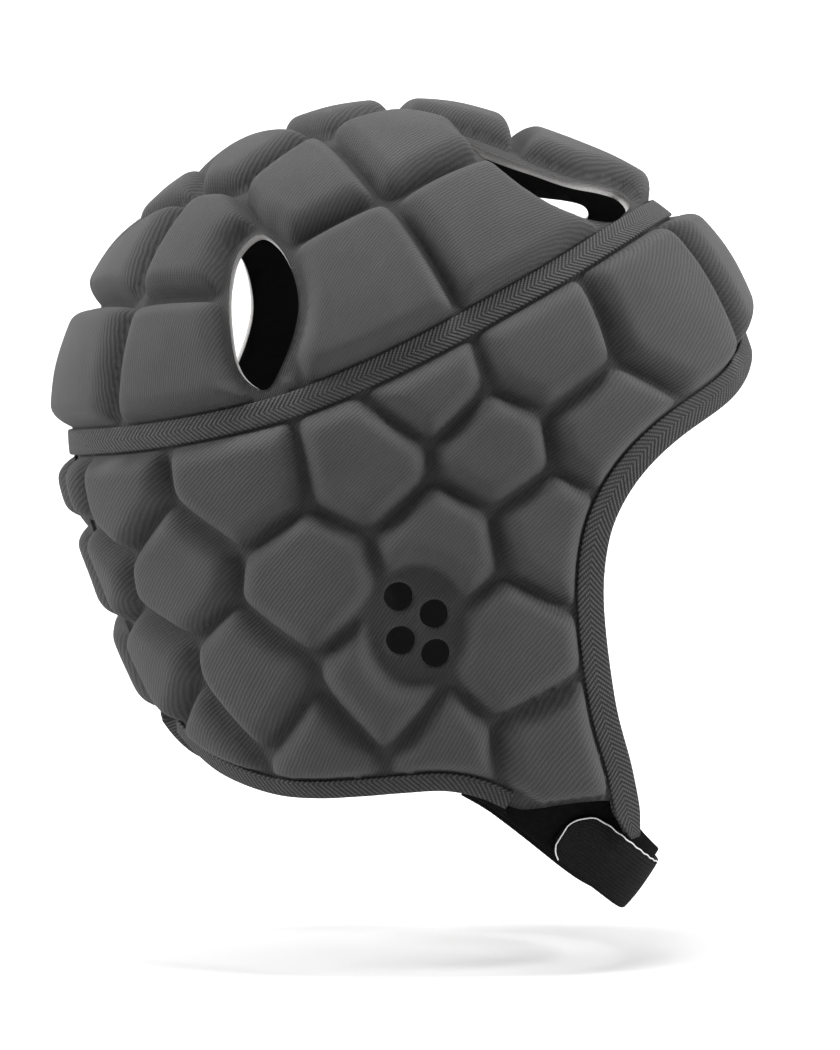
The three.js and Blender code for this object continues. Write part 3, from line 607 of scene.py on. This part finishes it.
def padded_panel(name, loops, foam_loops, rows, edges, to_map, reach, step, cloth_map, materials):
    """A panel with its pads outside, its lining inside and a wall round every edge."""
    low, high = reach
    flat_loops = [to_map(loop) for loop in loops]

    def inside_places(spacing):
        places = rows_of_places(low, high, spacing)
        flat = to_map(places)
        keep = inside_loop(flat, flat_loops[0])
        for hole in flat_loops[1:]:
            keep &= ~inside_loop(flat, hole)
        return away_from(places[keep], loops, min(spacing, LOOP_STEP) * INNER_GAP)

    outside = onto_pad_feet(inside_places(step), rows, edges, FOOT_REACH * step)
    outside = away_from(outside, loops, LOOP_STEP * SNAPPED_GAP)
    skin, skin_faces = cut_panel(loops, outside, to_map)
    clear = pad_clearance(unit_of(skin), rows, edges)
    height = WEB + pad_height(clear)
    border = sum(len(loop) for loop in loops)
    height[:border] = WEB
    height += cloth_ripple(skin) * np.clip(clear / RIPPLE_FADE, 0, 1)
    skin_places = above(skin, height)
    lining, lining_faces = cut_panel(loops, inside_places(LINING_STEP), to_map)
    lining_places = above(lining, np.zeros(len(lining)))
    shift = len(skin)
    faces = [*oriented(skin_faces, skin_places)]
    kinds = [0] * len(faces)
    inner = oriented(lining_faces, lining_places)[:, ::-1] + shift
    faces += [*inner]
    kinds += [1] * len(inner)
    start = 0
    for number, loop in enumerate(loops):
        count = len(loop)
        for i in range(count):
            j = (i + 1) % count
            faces.append((start + i, start + j, shift + start + j, shift + start + i))
            kinds.append(2 if number in foam_loops else 0)
        start += count
    everything = np.vstack([skin_places, lining_places])
    units = np.vstack([skin, lining])
    # Share of the way up each pad's shoulder: the knit paints shade into the cloth where it is low,
    # in the grooves
    groove_shade_mask = np.concatenate([np.clip(clear / CLOTH_SHOULDER, *GROOVE_SHADE_RANGE), np.zeros(len(lining))])
    return new_mesh(name, everything, faces, materials, kinds, cloth_map(units), groove_shade_mask)


def oriented(faces, places):
    """Faces turned together, so that most look away from the head's middle."""
    a, b, c = (places[faces[:, k]] for k in range(3))
    facing = (np.cross(b - a, c - a) * a).sum()
    return faces if facing > 0 else faces[:, ::-1]


def cloth_ripple(units):
    """Low swells of the moulded pads, in millimetres."""
    x, y, z = (unit_of(units) * RIPPLE_RADIUS).T
    return (
        0.12 * np.sin(x / 7.1 + 1.7 * np.sin(z / 11)) * np.sin(y / 8.3 + 0.6)
        + 0.07 * np.sin(z / 3.7 + y / 5.9) * np.sin(x / 4.3 + 2.0)
    )


def side_cloth_map(units):
    rounds, rises = angles(units)
    return np.stack([rounds, rises], -1) * SIDE_CLOTH_SCALE


def crown_cloth_map(units):
    rounds, rises = angles(units)
    turn = np.radians(rounds)
    out = (90 - rises) * CROWN_CLOTH_SCALE
    return np.stack([out * np.sin(turn), out * np.cos(turn)], -1)


# Strips: tape, bindings, tab and strap


def round_section(corners, radius, steps=3):
    """A section's corners rounded, as rows of (across, height)."""
    corners = np.array(corners, float)
    result = []
    for i, corner in enumerate(corners):
        before = corners[i - 1] - corner
        after = corners[(i + 1) % len(corners)] - corner
        shorter = min(np.linalg.norm(before), np.linalg.norm(after))
        cut = min(radius, shorter * ROUNDED_SHARE)
        start = corner + before / np.linalg.norm(before) * cut
        end = corner + after / np.linalg.norm(after) * cut
        for t in np.linspace(0, 1, steps):
            result.append((1 - t) ** 2 * start + 2 * t * (1 - t) * corner + t**2 * end)
    return np.array(result)


def strip_piece(name, line, section, closed, inward, material, width_at=None, lift_at=None):
    feet = head_point(line)
    count = len(feet)
    if closed:
        ahead, behind = np.roll(feet, -1, axis=0), np.roll(feet, 1, axis=0)
    else:
        ahead, behind = np.vstack([feet[1:], feet[-1:]]), np.vstack([feet[:1], feet[:-1]])
    across = unit_of(np.cross(head_normal(feet), ahead - behind)) * inward
    shares = np.linspace(0, 1, count)
    widths = np.ones(count) if width_at is None else width_at(shares)
    lifts = np.zeros(count) if lift_at is None else lift_at(shares)
    sides = len(section)
    places = np.vstack([
        above(feet[i] + across[i] * section[:, :1] * widths[i], section[:, 1] + lifts[i])
        for i in range(count)
    ])
    faces = []
    for i in range(count if closed else count - 1):
        j = (i + 1) % count
        for k in range(sides):
            m = (k + 1) % sides
            faces.append((i * sides + k, i * sides + m, j * sides + m, j * sides + k))
    if not closed:
        faces.append(tuple(range(sides)))
        faces.append(tuple(range((count - 1) * sides, count * sides))[::-1])
    steps = np.linalg.norm(feet - behind, axis=1)
    travelled = np.cumsum(steps)
    uv = np.stack([np.repeat(travelled, sides), np.tile(section[:, 0], count)], -1)
    piece = new_mesh(name, places, faces, [material], uv=uv)
    make_outward(piece)
    return piece


def make_outward(piece):
    work = bmesh.new()
    work.from_mesh(piece.data)
    bmesh.ops.recalc_face_normals(work, faces=work.faces)
    work.to_mesh(piece.data)
    work.free()


def folded_section(width):
    outside = WEB + CLEARANCE
    lining = -LINING_CLEARANCE
    thick = BINDING_THICKNESS
    inner_width = width - INNER_FOLD_SHORTER
    corners = [
        (width, outside), (width, outside + thick), (-CLEARANCE - thick, outside + thick),
        (-CLEARANCE - thick, lining - thick), (inner_width, lining - thick),
        (inner_width, lining),
        (-CLEARANCE, lining), (-CLEARANCE, outside),
    ]
    return with_middles(round_section(corners, FOLD_RADIUS), FOLD_SPACING)


def flat_section(width, bottom, thickness):
    corners = [
        (-width / 2, bottom), (width / 2, bottom), (width / 2, bottom + thickness),
        (-width / 2, bottom + thickness),
    ]
    return with_middles(round_section(corners, ROUNDED_SHARE * thickness), FLAT_SPACING)


def with_middles(section, longest):
    """More points on the long sides, so that they follow the head."""
    result = []
    for start, end in zip(section, np.roll(section, -1, axis=0)):
        parts = max(1, math.ceil(np.linalg.norm(end - start) / longest))
        for t in range(parts):
            result.append(start + (end - start) * t / parts)
    return np.array(result)


# Materials


def material_of(name, build):
    material = bpy.data.materials.new(name)
    material.use_nodes = True
    tree = material.node_tree
    tree.nodes.clear()
    output = tree.nodes.new("ShaderNodeOutputMaterial")
    surface = tree.nodes.new("ShaderNodeBsdfPrincipled")
    tree.links.new(surface.outputs[0], output.inputs[0])
    build(tree, surface)
    return material


def node(tree, kind, settings=None, **inputs):
    made = tree.nodes.new(kind)
    for key, value in (settings or {}).items():
        setattr(made, key, value)
    for key, value in inputs.items():
        socket = made.inputs[int(key[1:])] if key[1:].isdigit() else made.inputs[key]
        if isinstance(value, bpy.types.NodeSocket):
            tree.links.new(value, socket)
        else:
            socket.default_value = value
    return made


def maths(tree, operation, first, second=0.0, third=0.0):
    made = node(tree, "ShaderNodeMath", {"operation": operation}, i0=first, i1=second, i2=third)
    return made.outputs[0]


def noise(tree, scale, detail=2.0, rough=0.5, at=None):
    made = node(tree, "ShaderNodeTexNoise", None, Scale=scale, Detail=detail, Roughness=rough)
    if at is not None:
        tree.links.new(at, made.inputs["Vector"])
    return made.outputs["Fac"]


def mix_colours(tree, share, first, second):
    made = node(tree, "ShaderNodeMix", {"data_type": "RGBA"})
    for index, value in ((0, share), (6, first), (7, second)):
        socket = made.inputs[index]
        if isinstance(value, bpy.types.NodeSocket):
            tree.links.new(value, socket)
        else:
            socket.default_value = value
    return made.outputs[2]


def ramp(tree, value, low, high):
    made = node(tree, "ShaderNodeMapRange", {"clamp": True}, i0=value, i1=low, i2=high)
    return made.outputs[0]


def bump(tree, surface, height, strength, distance):
    made = node(
        tree, "ShaderNodeBump", None, Strength=strength, Distance=distance, Height=height,
    )
    tree.links.new(made.outputs[0], surface.inputs["Normal"])


def grey(value, warm=0.0):
    return (value + warm, value, value - warm * 0.5, 1.0)


def cloth_coordinates(tree):
    uv = node(tree, "ShaderNodeUVMap", {"uv_map": "cloth"}).outputs[0]
    split = node(tree, "ShaderNodeSeparateXYZ", None, i0=uv)
    return uv, split.outputs[0], split.outputs[1]


def wave(tree, coordinate, rate):
    """A wave from 0 to 1 that turns by rate radians for each millimetre."""
    phase = maths(tree, "MULTIPLY", coordinate, rate)
    return maths(tree, "MULTIPLY_ADD", maths(tree, "SINE", phase), 0.5, 0.5)


def set_gloss(surface, roughness, gloss):
    surface.inputs["Roughness"].default_value = roughness
    surface.inputs["Specular IOR Level"].default_value = gloss


def multiplied(tree, first, second):
    made = node(tree, "ShaderNodeMix", {"data_type": "RGBA", "blend_type": "MULTIPLY"}, i0=1.0)
    tree.links.new(first, made.inputs[6])
    tree.links.new(second, made.inputs[7])
    return made.outputs[2]


def knit(tree, surface):
    """Fine knit over foam: diagonal ribs, grain, and painted shade that darkens the cloth in the
    grooves between the pads.
    """
    uv, u, v = cloth_coordinates(tree)
    wander = maths(tree, "MULTIPLY", noise(tree, scale=0.25, detail=2.0, rough=0.5, at=uv), 0.9)
    slant = maths(tree, "ADD", maths(tree, "MULTIPLY", u, 0.8), maths(tree, "MULTIPLY", v, 0.62))
    ribs = wave(tree, maths(tree, "ADD", slant, wander), rate=6.4)
    cross = maths(tree, "SUBTRACT", maths(tree, "MULTIPLY", u, 0.62), maths(tree, "MULTIPLY", v, 0.8))
    stitches = wave(tree, cross, rate=9.0)
    weave = maths(tree, "MULTIPLY", ribs, maths(tree, "MULTIPLY_ADD", stitches, 0.35, 0.65))
    grain = noise(tree, scale=2.2, detail=4.0, rough=0.7, at=uv)
    fuzz = noise(tree, scale=9.0, detail=2.0, rough=0.6, at=uv)
    patches = noise(tree, scale=0.06, detail=3.0, rough=0.6, at=uv)
    # Painted shade: the cloth's colour is darker where the pads' shoulders fall into the grooves and
    # lighter on the pad tops
    groove_shade_mask = node(tree, "ShaderNodeAttribute", {"attribute_name": "groove_shade_mask"}).outputs["Fac"]
    top = ramp(tree, groove_shade_mask, -0.05, 0.3)
    base = mix_colours(tree, top, grey(0.031), grey(0.042))
    worn = maths(tree, "MULTIPLY_ADD", patches, 0.5, maths(tree, "MULTIPLY", grain, 0.5))
    shade = mix_colours(tree, ramp(tree, worn, 0.3, 0.7), grey(0.86), grey(1.12))
    threads = mix_colours(tree, weave, grey(0.78), grey(1.16))
    woven = multiplied(tree, multiplied(tree, base, shade), threads)
    tree.links.new(woven, surface.inputs["Base Color"])
    set_gloss(surface, roughness=0.92, gloss=0.15)
    surface.inputs["Sheen Weight"].default_value = 0.04
    height = maths(tree, "ADD", weave, maths(tree, "MULTIPLY", fuzz, 0.8))
    bump(tree, surface, height, strength=0.55, distance=0.00028)


def lining_cloth(tree, surface):
    """Black brushed lining."""
    uv, _, _ = cloth_coordinates(tree)
    grain = noise(tree, scale=1.4, detail=4.0, rough=0.7, at=uv)
    colour = mix_colours(tree, grain, grey(0.003), grey(0.008))
    tree.links.new(colour, surface.inputs["Base Color"])
    set_gloss(surface, roughness=0.95, gloss=0.04)
    bump(tree, surface, grain, strength=0.4, distance=0.0004)


def cut_foam(tree, surface):
    """Pale foam where a vent is cut through."""
    place = node(tree, "ShaderNodeTexCoord").outputs["Object"]
    cells = noise(tree, scale=1600.0, detail=3.0, rough=0.8, at=place)
    colour = mix_colours(tree, cells, grey(0.16, 0.006), grey(0.42, 0.008))
    tree.links.new(colour, surface.inputs["Base Color"])
    surface.inputs["Roughness"].default_value = 0.95
    bump(tree, surface, cells, strength=0.7, distance=0.0004)


def braid(tree, surface, tone, pitch, middle):
    """Braided tape: slanted ribs that meet at its middle, with dark flecks."""
    uv, u, v = cloth_coordinates(tree)
    centred = maths(tree, "ABSOLUTE", maths(tree, "SUBTRACT", v, middle))
    slant = maths(tree, "ADD", u, centred)
    ribs = wave(tree, slant, 2 * math.pi / pitch)
    cross = maths(tree, "SUBTRACT", maths(tree, "MULTIPLY", u, 0.5), centred)
    threads = wave(tree, cross, rate=7.5)
    weave = maths(tree, "MULTIPLY", ribs, maths(tree, "MULTIPLY_ADD", threads, 0.4, 0.6))
    flecks = noise(tree, scale=1.3, detail=3.0, rough=0.7, at=uv)
    lit = mix_colours(tree, weave, grey(tone * 0.35), grey(tone * 1.5))
    colour = mix_colours(tree, ramp(tree, flecks, 0.56, 0.66), lit, grey(tone * 0.3))
    tree.links.new(colour, surface.inputs["Base Color"])
    set_gloss(surface, roughness=0.85, gloss=0.2)
    bump(tree, surface, weave, strength=0.8, distance=0.0004)


def seam_braid(tree, surface):
    braid(tree, surface, tone=0.044, pitch=1.5, middle=0.0)


def edge_braid(tree, surface):
    braid(tree, surface, tone=0.041, pitch=1.6, middle=BINDING_WIDTH / 2)


def loop_pile(tree, surface):
    """Black loop pile of the fastening tab."""
    uv, _, _ = cloth_coordinates(tree)
    pile = noise(tree, scale=2.6, detail=4.0, rough=0.8, at=uv)
    clumps = noise(tree, scale=0.5, detail=2.0, rough=0.5, at=uv)
    colour = mix_colours(tree, maths(tree, "MULTIPLY", pile, clumps), grey(0.002), grey(0.014))
    tree.links.new(colour, surface.inputs["Base Color"])
    set_gloss(surface, roughness=0.95, gloss=0.03)
    bump(tree, surface, pile, strength=1.0, distance=0.0007)


def strap_web(tree, surface):
    """Black webbing with fine cross ribs."""
    uv, u, v = cloth_coordinates(tree)
    weave = maths(tree, "MULTIPLY", wave(tree, u, rate=7.0), wave(tree, v, rate=5.2))
    wear = noise(tree, scale=0.5, detail=4.0, rough=0.7, at=uv)
    fuzz = noise(tree, scale=3.0, detail=3.0, rough=0.7, at=uv)
    height = maths(tree, "ADD", weave, maths(tree, "MULTIPLY", fuzz, 0.6))
    colour = mix_colours(tree, maths(tree, "MULTIPLY", height, wear), grey(0.003), grey(0.018))
    tree.links.new(colour, surface.inputs["Base Color"])
    set_gloss(surface, roughness=0.85, gloss=0.05)
    bump(tree, surface, height, strength=0.8, distance=0.0005)


def thread(tree, surface):
    """Pale sewing thread."""
    place = node(tree, "ShaderNodeTexCoord").outputs["Object"]
    twist = noise(tree, scale=2400.0, detail=1.0, rough=0.5, at=place)
    tree.links.new(mix_colours(tree, twist, grey(0.35), grey(0.62)), surface.inputs["Base Color"])
    surface.inputs["Roughness"].default_value = 0.6


def elastic_mesh(tree, surface):
    """Pale stretch mesh of the gusset."""
    _, u, v = cloth_coordinates(tree)
    knots = maths(tree, "MULTIPLY", wave(tree, u, rate=5.5), wave(tree, v, rate=4.2))
    tree.links.new(mix_colours(tree, knots, grey(0.07), grey(0.24)), surface.inputs["Base Color"])
    surface.inputs["Roughness"].default_value = 0.85
    bump(tree, surface, knots, strength=0.6, distance=0.0004)


def backdrop_paper(tree, surface):
    """Pale grey paper with the faintest tooth, which the lights turn white."""
    place = node(tree, "ShaderNodeTexCoord").outputs["Object"]
    tooth = noise(tree, scale=9.0, detail=3.0, rough=0.6, at=place)
    tree.links.new(mix_colours(tree, tooth, grey(0.60), grey(0.62)), surface.inputs["Base Color"])
    surface.inputs["Roughness"].default_value = 0.9


# Camera. It looks at the right side from slightly behind, as the photograph does.

VIEW_TURN = math.radians(8)
VIEW_LIFT = math.radians(1.5)
VIEW_DISTANCE = 1.6
VIEW_HEIGHT_MM = 330.75     # what the picture's height spans at the aim point
SENSOR = 36.0
AIM_RIGHT = 0.0079
AIM_UP = -0.0299


def make_camera():
    out = Vector((
        -math.cos(VIEW_TURN) * math.cos(VIEW_LIFT),
        math.sin(VIEW_TURN) * math.cos(VIEW_LIFT),
        math.sin(VIEW_LIFT),
    ))
    right = Vector((-math.sin(VIEW_TURN), -math.cos(VIEW_TURN), 0))
    aim = Vector((0, 0, -CROWN_TOP / 1000)) + right * AIM_RIGHT + out.cross(right) * AIM_UP
    data = bpy.data.cameras.new("camera")
    data.sensor_width = SENSOR
    data.lens = SENSOR * VIEW_DISTANCE * 1000 / VIEW_HEIGHT_MM
    data.clip_start = 0.05
    data.clip_end = 30
    camera = bpy.data.objects.new("camera", data)
    camera.matrix_world = Matrix.Translation(aim + out * VIEW_DISTANCE) @ (
        Matrix((right, out.cross(right), out)).transposed().to_4x4()
    )
    bpy.context.scene.collection.objects.link(camera)
    bpy.context.scene.camera = camera
    return out, right, aim


view_out, view_right, view_aim = make_camera()

# The cap

CLOTH = material_of("knit_over_foam", knit)
LINING = material_of("black_lining", lining_cloth)
FOAM = material_of("cut_foam", cut_foam)
TAPE = material_of("seam_braid", seam_braid)
BINDING = material_of("edge_braid", edge_braid)
PILE = material_of("loop_pile", loop_pile)
WEBBING = material_of("strap_webbing", strap_web)
THREAD = material_of("pale_thread", thread)
ELASTIC = material_of("elastic_mesh", elastic_mesh)

full_round = even(closed_feet(seam_near(WHOLE_ROUND, SEAM_GAP / 2)), LOOP_STEP, True)
vents = [along(vent, LOOP_STEP, True) for vent in (SIDE_VENT, FRONT_VENT)]
crown_loops = [full_round, *vents, *[mirrored(vent) for vent in vents]]
crown = padded_panel(
    "crown_panel", crown_loops, (1, 2, 3, 4), CROWN_PADS, crown_edges, map_from_top,
    CROWN_RISES, CROWN_STEP, crown_cloth_map, [CLOTH, LINING, FOAM],
)

gap_round = BACK_EDGE[-1][0]


def side_outline():
    """The side panel's outline: along the seam, down the back, and round the face."""
    top = head_point(seam_near(np.linspace(0, gap_round, SEAM_SAMPLES), -SEAM_GAP / 2))
    back = head_point(along(BACK_EDGE, LOOP_STEP))[::-1]
    lower = head_point(along(LOWER_EDGE, LOOP_STEP))[::-1]
    face = head_point(along(FACE_BOTH_SIDES, LOOP_STEP))
    middle = int(np.abs(face[:, 0]).argmin())
    face = face[middle:][::-1]
    parts = [unit_of(top), unit_of(back), unit_of(lower), unit_of(face)]
    rows = [even(head_point(part), LOOP_STEP)[:-1] for part in parts[:3]]
    right = np.vstack([*rows, even(head_point(parts[3]), LOOP_STEP)])
    right[-1] = unit_of(right[-1] * np.array([0, 1, 1]))
    return np.vstack([right, mirrored(right[1:-1])[::-1]])


def ear_hole(place):
    centre = head_point(direction(float(place[0]), float(place[1])))
    normal = head_normal(centre)
    across = unit_of(np.cross([0, 0, 1], normal))
    up = np.cross(normal, across)
    turns = np.linspace(0, 2 * math.pi, HOLE_SIDES + 1)[:-1]
    ring = np.outer(np.cos(turns), across) + np.outer(np.sin(turns), up)
    return unit_of(centre + ring * EAR_HOLE_DIAMETER / 2)


holes = [ear_hole(place) for place in EAR_HOLES]
side_loops = [side_outline(), *holes, *[mirrored(hole) for hole in holes]]
side = padded_panel(
    "side_padding", side_loops, (), SIDE_PADS, side_edges, map_round,
    SIDE_RISES, SIDE_STEP, side_cloth_map, [CLOTH, LINING, FOAM],
)

seam_units = even(closed_feet(seam_near(WHOLE_ROUND, 0.0)), STRIP_STEP, True)
tape = strip_piece(
    "seam_tape_braid", seam_units, flat_section(TAPE_WIDTH, WEB + CLEARANCE, TAPE_THICKNESS),
    True, 1, TAPE,
)

face_line = along(FACE_BOTH_SIDES, STRIP_STEP)[::-1]


def binding_width(shares):
    from_end = np.minimum(shares, 1 - shares) * 2 * FACE_STEPS
    return BINDING_END_SHARE + (1 - BINDING_END_SHARE) * np.minimum(from_end, 1)


face_binding = strip_piece(
    "face_binding_braid", face_line, folded_section(BINDING_WIDTH), False, 1, BINDING,
    binding_width,
)
neck_line = along(LOWER_EDGE, STRIP_STEP)
neck_line = neck_line[angles(neck_line)[0] > NECK_BINDING_START + NECK_BINDING_INSET]
neck_section = folded_section(NECK_BINDING_WIDTH)
neck_right = strip_piece(
    "neck_binding_braid_right", neck_line, neck_section, False, -1, BINDING,
)
neck_left = strip_piece(
    "neck_binding_braid_left", mirrored(neck_line), neck_section, False, 1, BINDING,
)

tab_top = -LINING_CLEARANCE - BINDING_THICKNESS - 2 * CLEARANCE


def tab_width(shares):
    """The tab is drawn in where it is sewn under the panel's edge."""
    t = np.clip(shares / TAB_SPREAD, 0, 1)
    return TAB_SEWN_WIDTH + (TAB_FULLNESS - TAB_SEWN_WIDTH) * np.sqrt(t * (2 - t))


tab = strip_piece(
    "chin_tab_pile", along(TAB_LINE, STRIP_STEP),
    flat_section(TAB_WIDTH, tab_top - TAB_THICKNESS, TAB_THICKNESS), False, 1, PILE, tab_width,
)


def strap_width(shares):
    """The strap's end on the tab is a half circle."""
    to_end = np.minimum(shares * strap_length / (STRAP_WIDTH / 2), 1)
    return np.maximum(np.sqrt(1 - (1 - to_end) ** 2), STRAP_END_WIDTH)


def strap_lift(shares):
    """The strap lies on the tab, and comes down to its level past the tab's end."""
    start, end = STRAP_LEAVES_TAB
    t = np.clip((shares - start) / (end - start), 0, 1)
    return (CLEARANCE + STRAP_THICKNESS) * (1 - t * t * (3 - 2 * t))


strap_line = along(STRAP_LINE, STRIP_STEP)
strap_length = np.linalg.norm(np.diff(head_point(strap_line), axis=0), axis=1).sum()
strap = strip_piece(
    "chin_strap_webbing", strap_line,
    flat_section(STRAP_WIDTH, tab_top - STRAP_THICKNESS, STRAP_THICKNESS), False, 1, WEBBING,
    strap_width, strap_lift,
)


def strap_thread():
    """A pale thread along the strap's upper edge and round its end, where it lies on the tab."""
    feet = head_point(strap_line)
    shares = np.linspace(0, 1, len(feet))
    ahead = np.vstack([feet[1:], feet[-1:]]) - np.vstack([feet[:1], feet[:-1]])
    across = unit_of(np.cross(head_normal(feet), ahead))
    heights = tab_top + strap_lift(shares) + THREAD_RADIUS * THREAD_RAISED
    fine = np.linspace(THREAD_START, THREAD_RUN, THREAD_STEPS)
    sides = []
    for edge, reach in THREAD_EDGES:
        kept = fine[fine <= THREAD_RUN * reach]
        rows = []
        for values in (feet, across):
            rows.append(np.stack([np.interp(kept, shares, values[:, k]) for k in range(3)], -1))
        width = strap_width(kept) * STRAP_WIDTH / 2 - THREAD_RADIUS
        wander = THREAD_WANDER * np.sin(kept * strap_length * THREAD_WANDER_RATE)
        height = np.interp(kept, shares, heights)
        sides.append(above(rows[0] + rows[1] * (edge * (width + wander))[:, None], height))
    line = np.vstack([sides[0][::-1], sides[1]])
    tangent = unit_of(np.gradient(line, axis=0))
    normal = head_normal(head_point(line))
    beside = unit_of(np.cross(tangent, normal))
    up = np.cross(beside, tangent)
    turns = np.linspace(0, 2 * math.pi, THREAD_SIDES + 1)[:-1]
    rings = [
        line + (beside * math.cos(turn) + up * math.sin(turn)) * THREAD_RADIUS
        for turn in turns
    ]
    places = np.stack(rings, axis=1).reshape(-1, 3)
    faces = []
    for i in range(len(line) - 1):
        for k in range(THREAD_SIDES):
            m = (k + 1) % THREAD_SIDES
            a, b = i * THREAD_SIDES, (i + 1) * THREAD_SIDES
            faces.append((a + k, a + m, b + m, b + k))
    last = (len(line) - 1) * THREAD_SIDES
    faces.append(tuple(range(THREAD_SIDES)))
    faces.append(tuple(range(last, last + THREAD_SIDES))[::-1])
    piece = new_mesh("strap_edge_thread", places, faces, [THREAD])
    make_outward(piece)
    return piece


edge_thread = strap_thread()
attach(edge_thread, "root")


def gusset_edge(share):
    rise = GUSSET_RISE[0] + (GUSSET_RISE[1] - GUSSET_RISE[0]) * share
    line = smooth_line(BACK_EDGE)(np.linspace(0, 1, 101))
    return float(np.interp(rise, line[:, 1], line[:, 0])) - GUSSET_TUCK, rise


def gusset_mesh():
    rows, columns = GUSSET_ROWS, GUSSET_COLUMNS
    places = []
    for height in (-GUSSET_CLEARANCE, -GUSSET_CLEARANCE - GUSSET_THICKNESS):
        for i in range(rows + 1):
            edge, rise = gusset_edge(i / rows)
            rounds = np.linspace(edge, 360 - edge, columns + 1)
            units = direction(rounds, np.full(len(rounds), rise))
            places.append(above(units, np.full(len(rounds), height)))
    places = np.vstack(places)
    layer = (rows + 1) * (columns + 1)
    faces = []
    for i in range(rows):
        for j in range(columns):
            a = i * (columns + 1) + j
            quad = (a, a + 1, a + columns + 2, a + columns + 1)
            faces.append(quad)
            faces.append(tuple(layer + corner for corner in reversed(quad)))
    rim = (
        list(range(columns))
        + [i * (columns + 1) + columns for i in range(rows)]
        + [rows * (columns + 1) + columns - j for j in range(columns)]
        + [(rows - i) * (columns + 1) for i in range(rows)]
    )
    for a, b in zip(rim, rim[1:] + rim[:1]):
        faces.append((b, a, layer + a, layer + b))
    rounds, rises = angles(places)
    uv = np.stack([rounds % 360, rises], -1) * GUSSET_CLOTH_SCALE
    piece = new_mesh("back_gusset_mesh", places, faces, [ELASTIC], uv=uv)
    make_outward(piece)
    return piece


gusset = gusset_mesh()

REPLACED = [
    (crown, "crown", "padded_cloth"), (side, "side_panel", "padded_cloth"),
    (tape, "seam_tape", "woven_tape"), (face_binding, "face_binding", "woven_tape"),
    (neck_right, "neck_binding_right", "woven_tape"),
    (neck_left, "neck_binding_left", "woven_tape"), (gusset, "back_gusset", "pale_mesh"),
    (tab, "chin_tab", "fastener"), (strap, "chin_strap", "fastener"),
]
for piece, replaced, slot in REPLACED:
    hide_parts(replaced)
    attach(piece, "root")

# Backdrop and light, in metres

FLOOR_DROP = 0.016
FLOOR_HALF = 3.0
WALL_DISTANCE = 1.1
WALL_HEIGHT = 3.0
BEND_RADIUS = 0.5
BEND_STEPS = 12
WORLD_STRENGTH = 0.42
strap_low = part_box("chin_strap")[0][2]


def make_backdrop():
    """A floor that curves up into a wall behind the cap."""
    bend_start = WALL_DISTANCE - BEND_RADIUS
    profile = [(-FLOOR_HALF, 0.0), (bend_start, 0.0)]
    for step in range(1, BEND_STEPS + 1):
        turn = math.pi / 2 * step / BEND_STEPS
        across = bend_start + BEND_RADIUS * math.sin(turn)
        profile.append((across, BEND_RADIUS - BEND_RADIUS * math.cos(turn)))
    profile.append((WALL_DISTANCE, WALL_HEIGHT))
    away = Vector((-view_out.x, -view_out.y, 0)).normalized()
    places = []
    for side_shift in (-FLOOR_HALF, FLOOR_HALF):
        for distance, height in profile:
            along_floor = away * distance + view_right * side_shift
            places.append(along_floor + Vector((0, 0, strap_low - FLOOR_DROP + height)))
    count = len(profile)
    faces = [(i, i + 1, count + i + 1, count + i) for i in range(count - 1)]
    mesh = bpy.data.meshes.new("backdrop")
    mesh.from_pydata(places, [], faces)
    mesh.materials.append(material_of("white_paper", backdrop_paper))
    mesh.polygons.foreach_set("use_smooth", [True] * len(mesh.polygons))
    backdrop = bpy.data.objects.new("backdrop", mesh)
    bpy.context.scene.collection.objects.link(backdrop)


def area_light(name, right, up, out, size, power):
    """A soft light placed from the aim point, along the camera's own axes."""
    data = bpy.data.lights.new(name, "AREA")
    data.shape = "RECTANGLE"
    data.size, data.size_y = size
    data.energy = power
    light = bpy.data.objects.new(name, data)
    place = view_aim + view_right * right + Vector((0, 0, up)) + view_out * out
    light.location = place
    light.rotation_mode = "QUATERNION"
    light.rotation_quaternion = (place - view_aim).to_track_quat("Z", "Y")
    bpy.context.scene.collection.objects.link(light)


make_backdrop()
area_light("left_softbox", right=-1.4, up=0.7, out=0.3, size=(0.6, 0.9), power=36)
area_light("right_softbox", right=1.4, up=0.55, out=0.25, size=(0.6, 0.9), power=34)
area_light("top_softbox", right=0.0, up=1.7, out=0.2, size=(0.6, 0.6), power=46)
world = bpy.data.worlds.new("studio")
world.use_nodes = True
world.node_tree.nodes["Background"].inputs[0].default_value = (1, 1, 1, 1)
world.node_tree.nodes["Background"].inputs[1].default_value = WORLD_STRENGTH
bpy.context.scene.world = world
bpy.context.scene.view_settings.view_transform = "Standard"
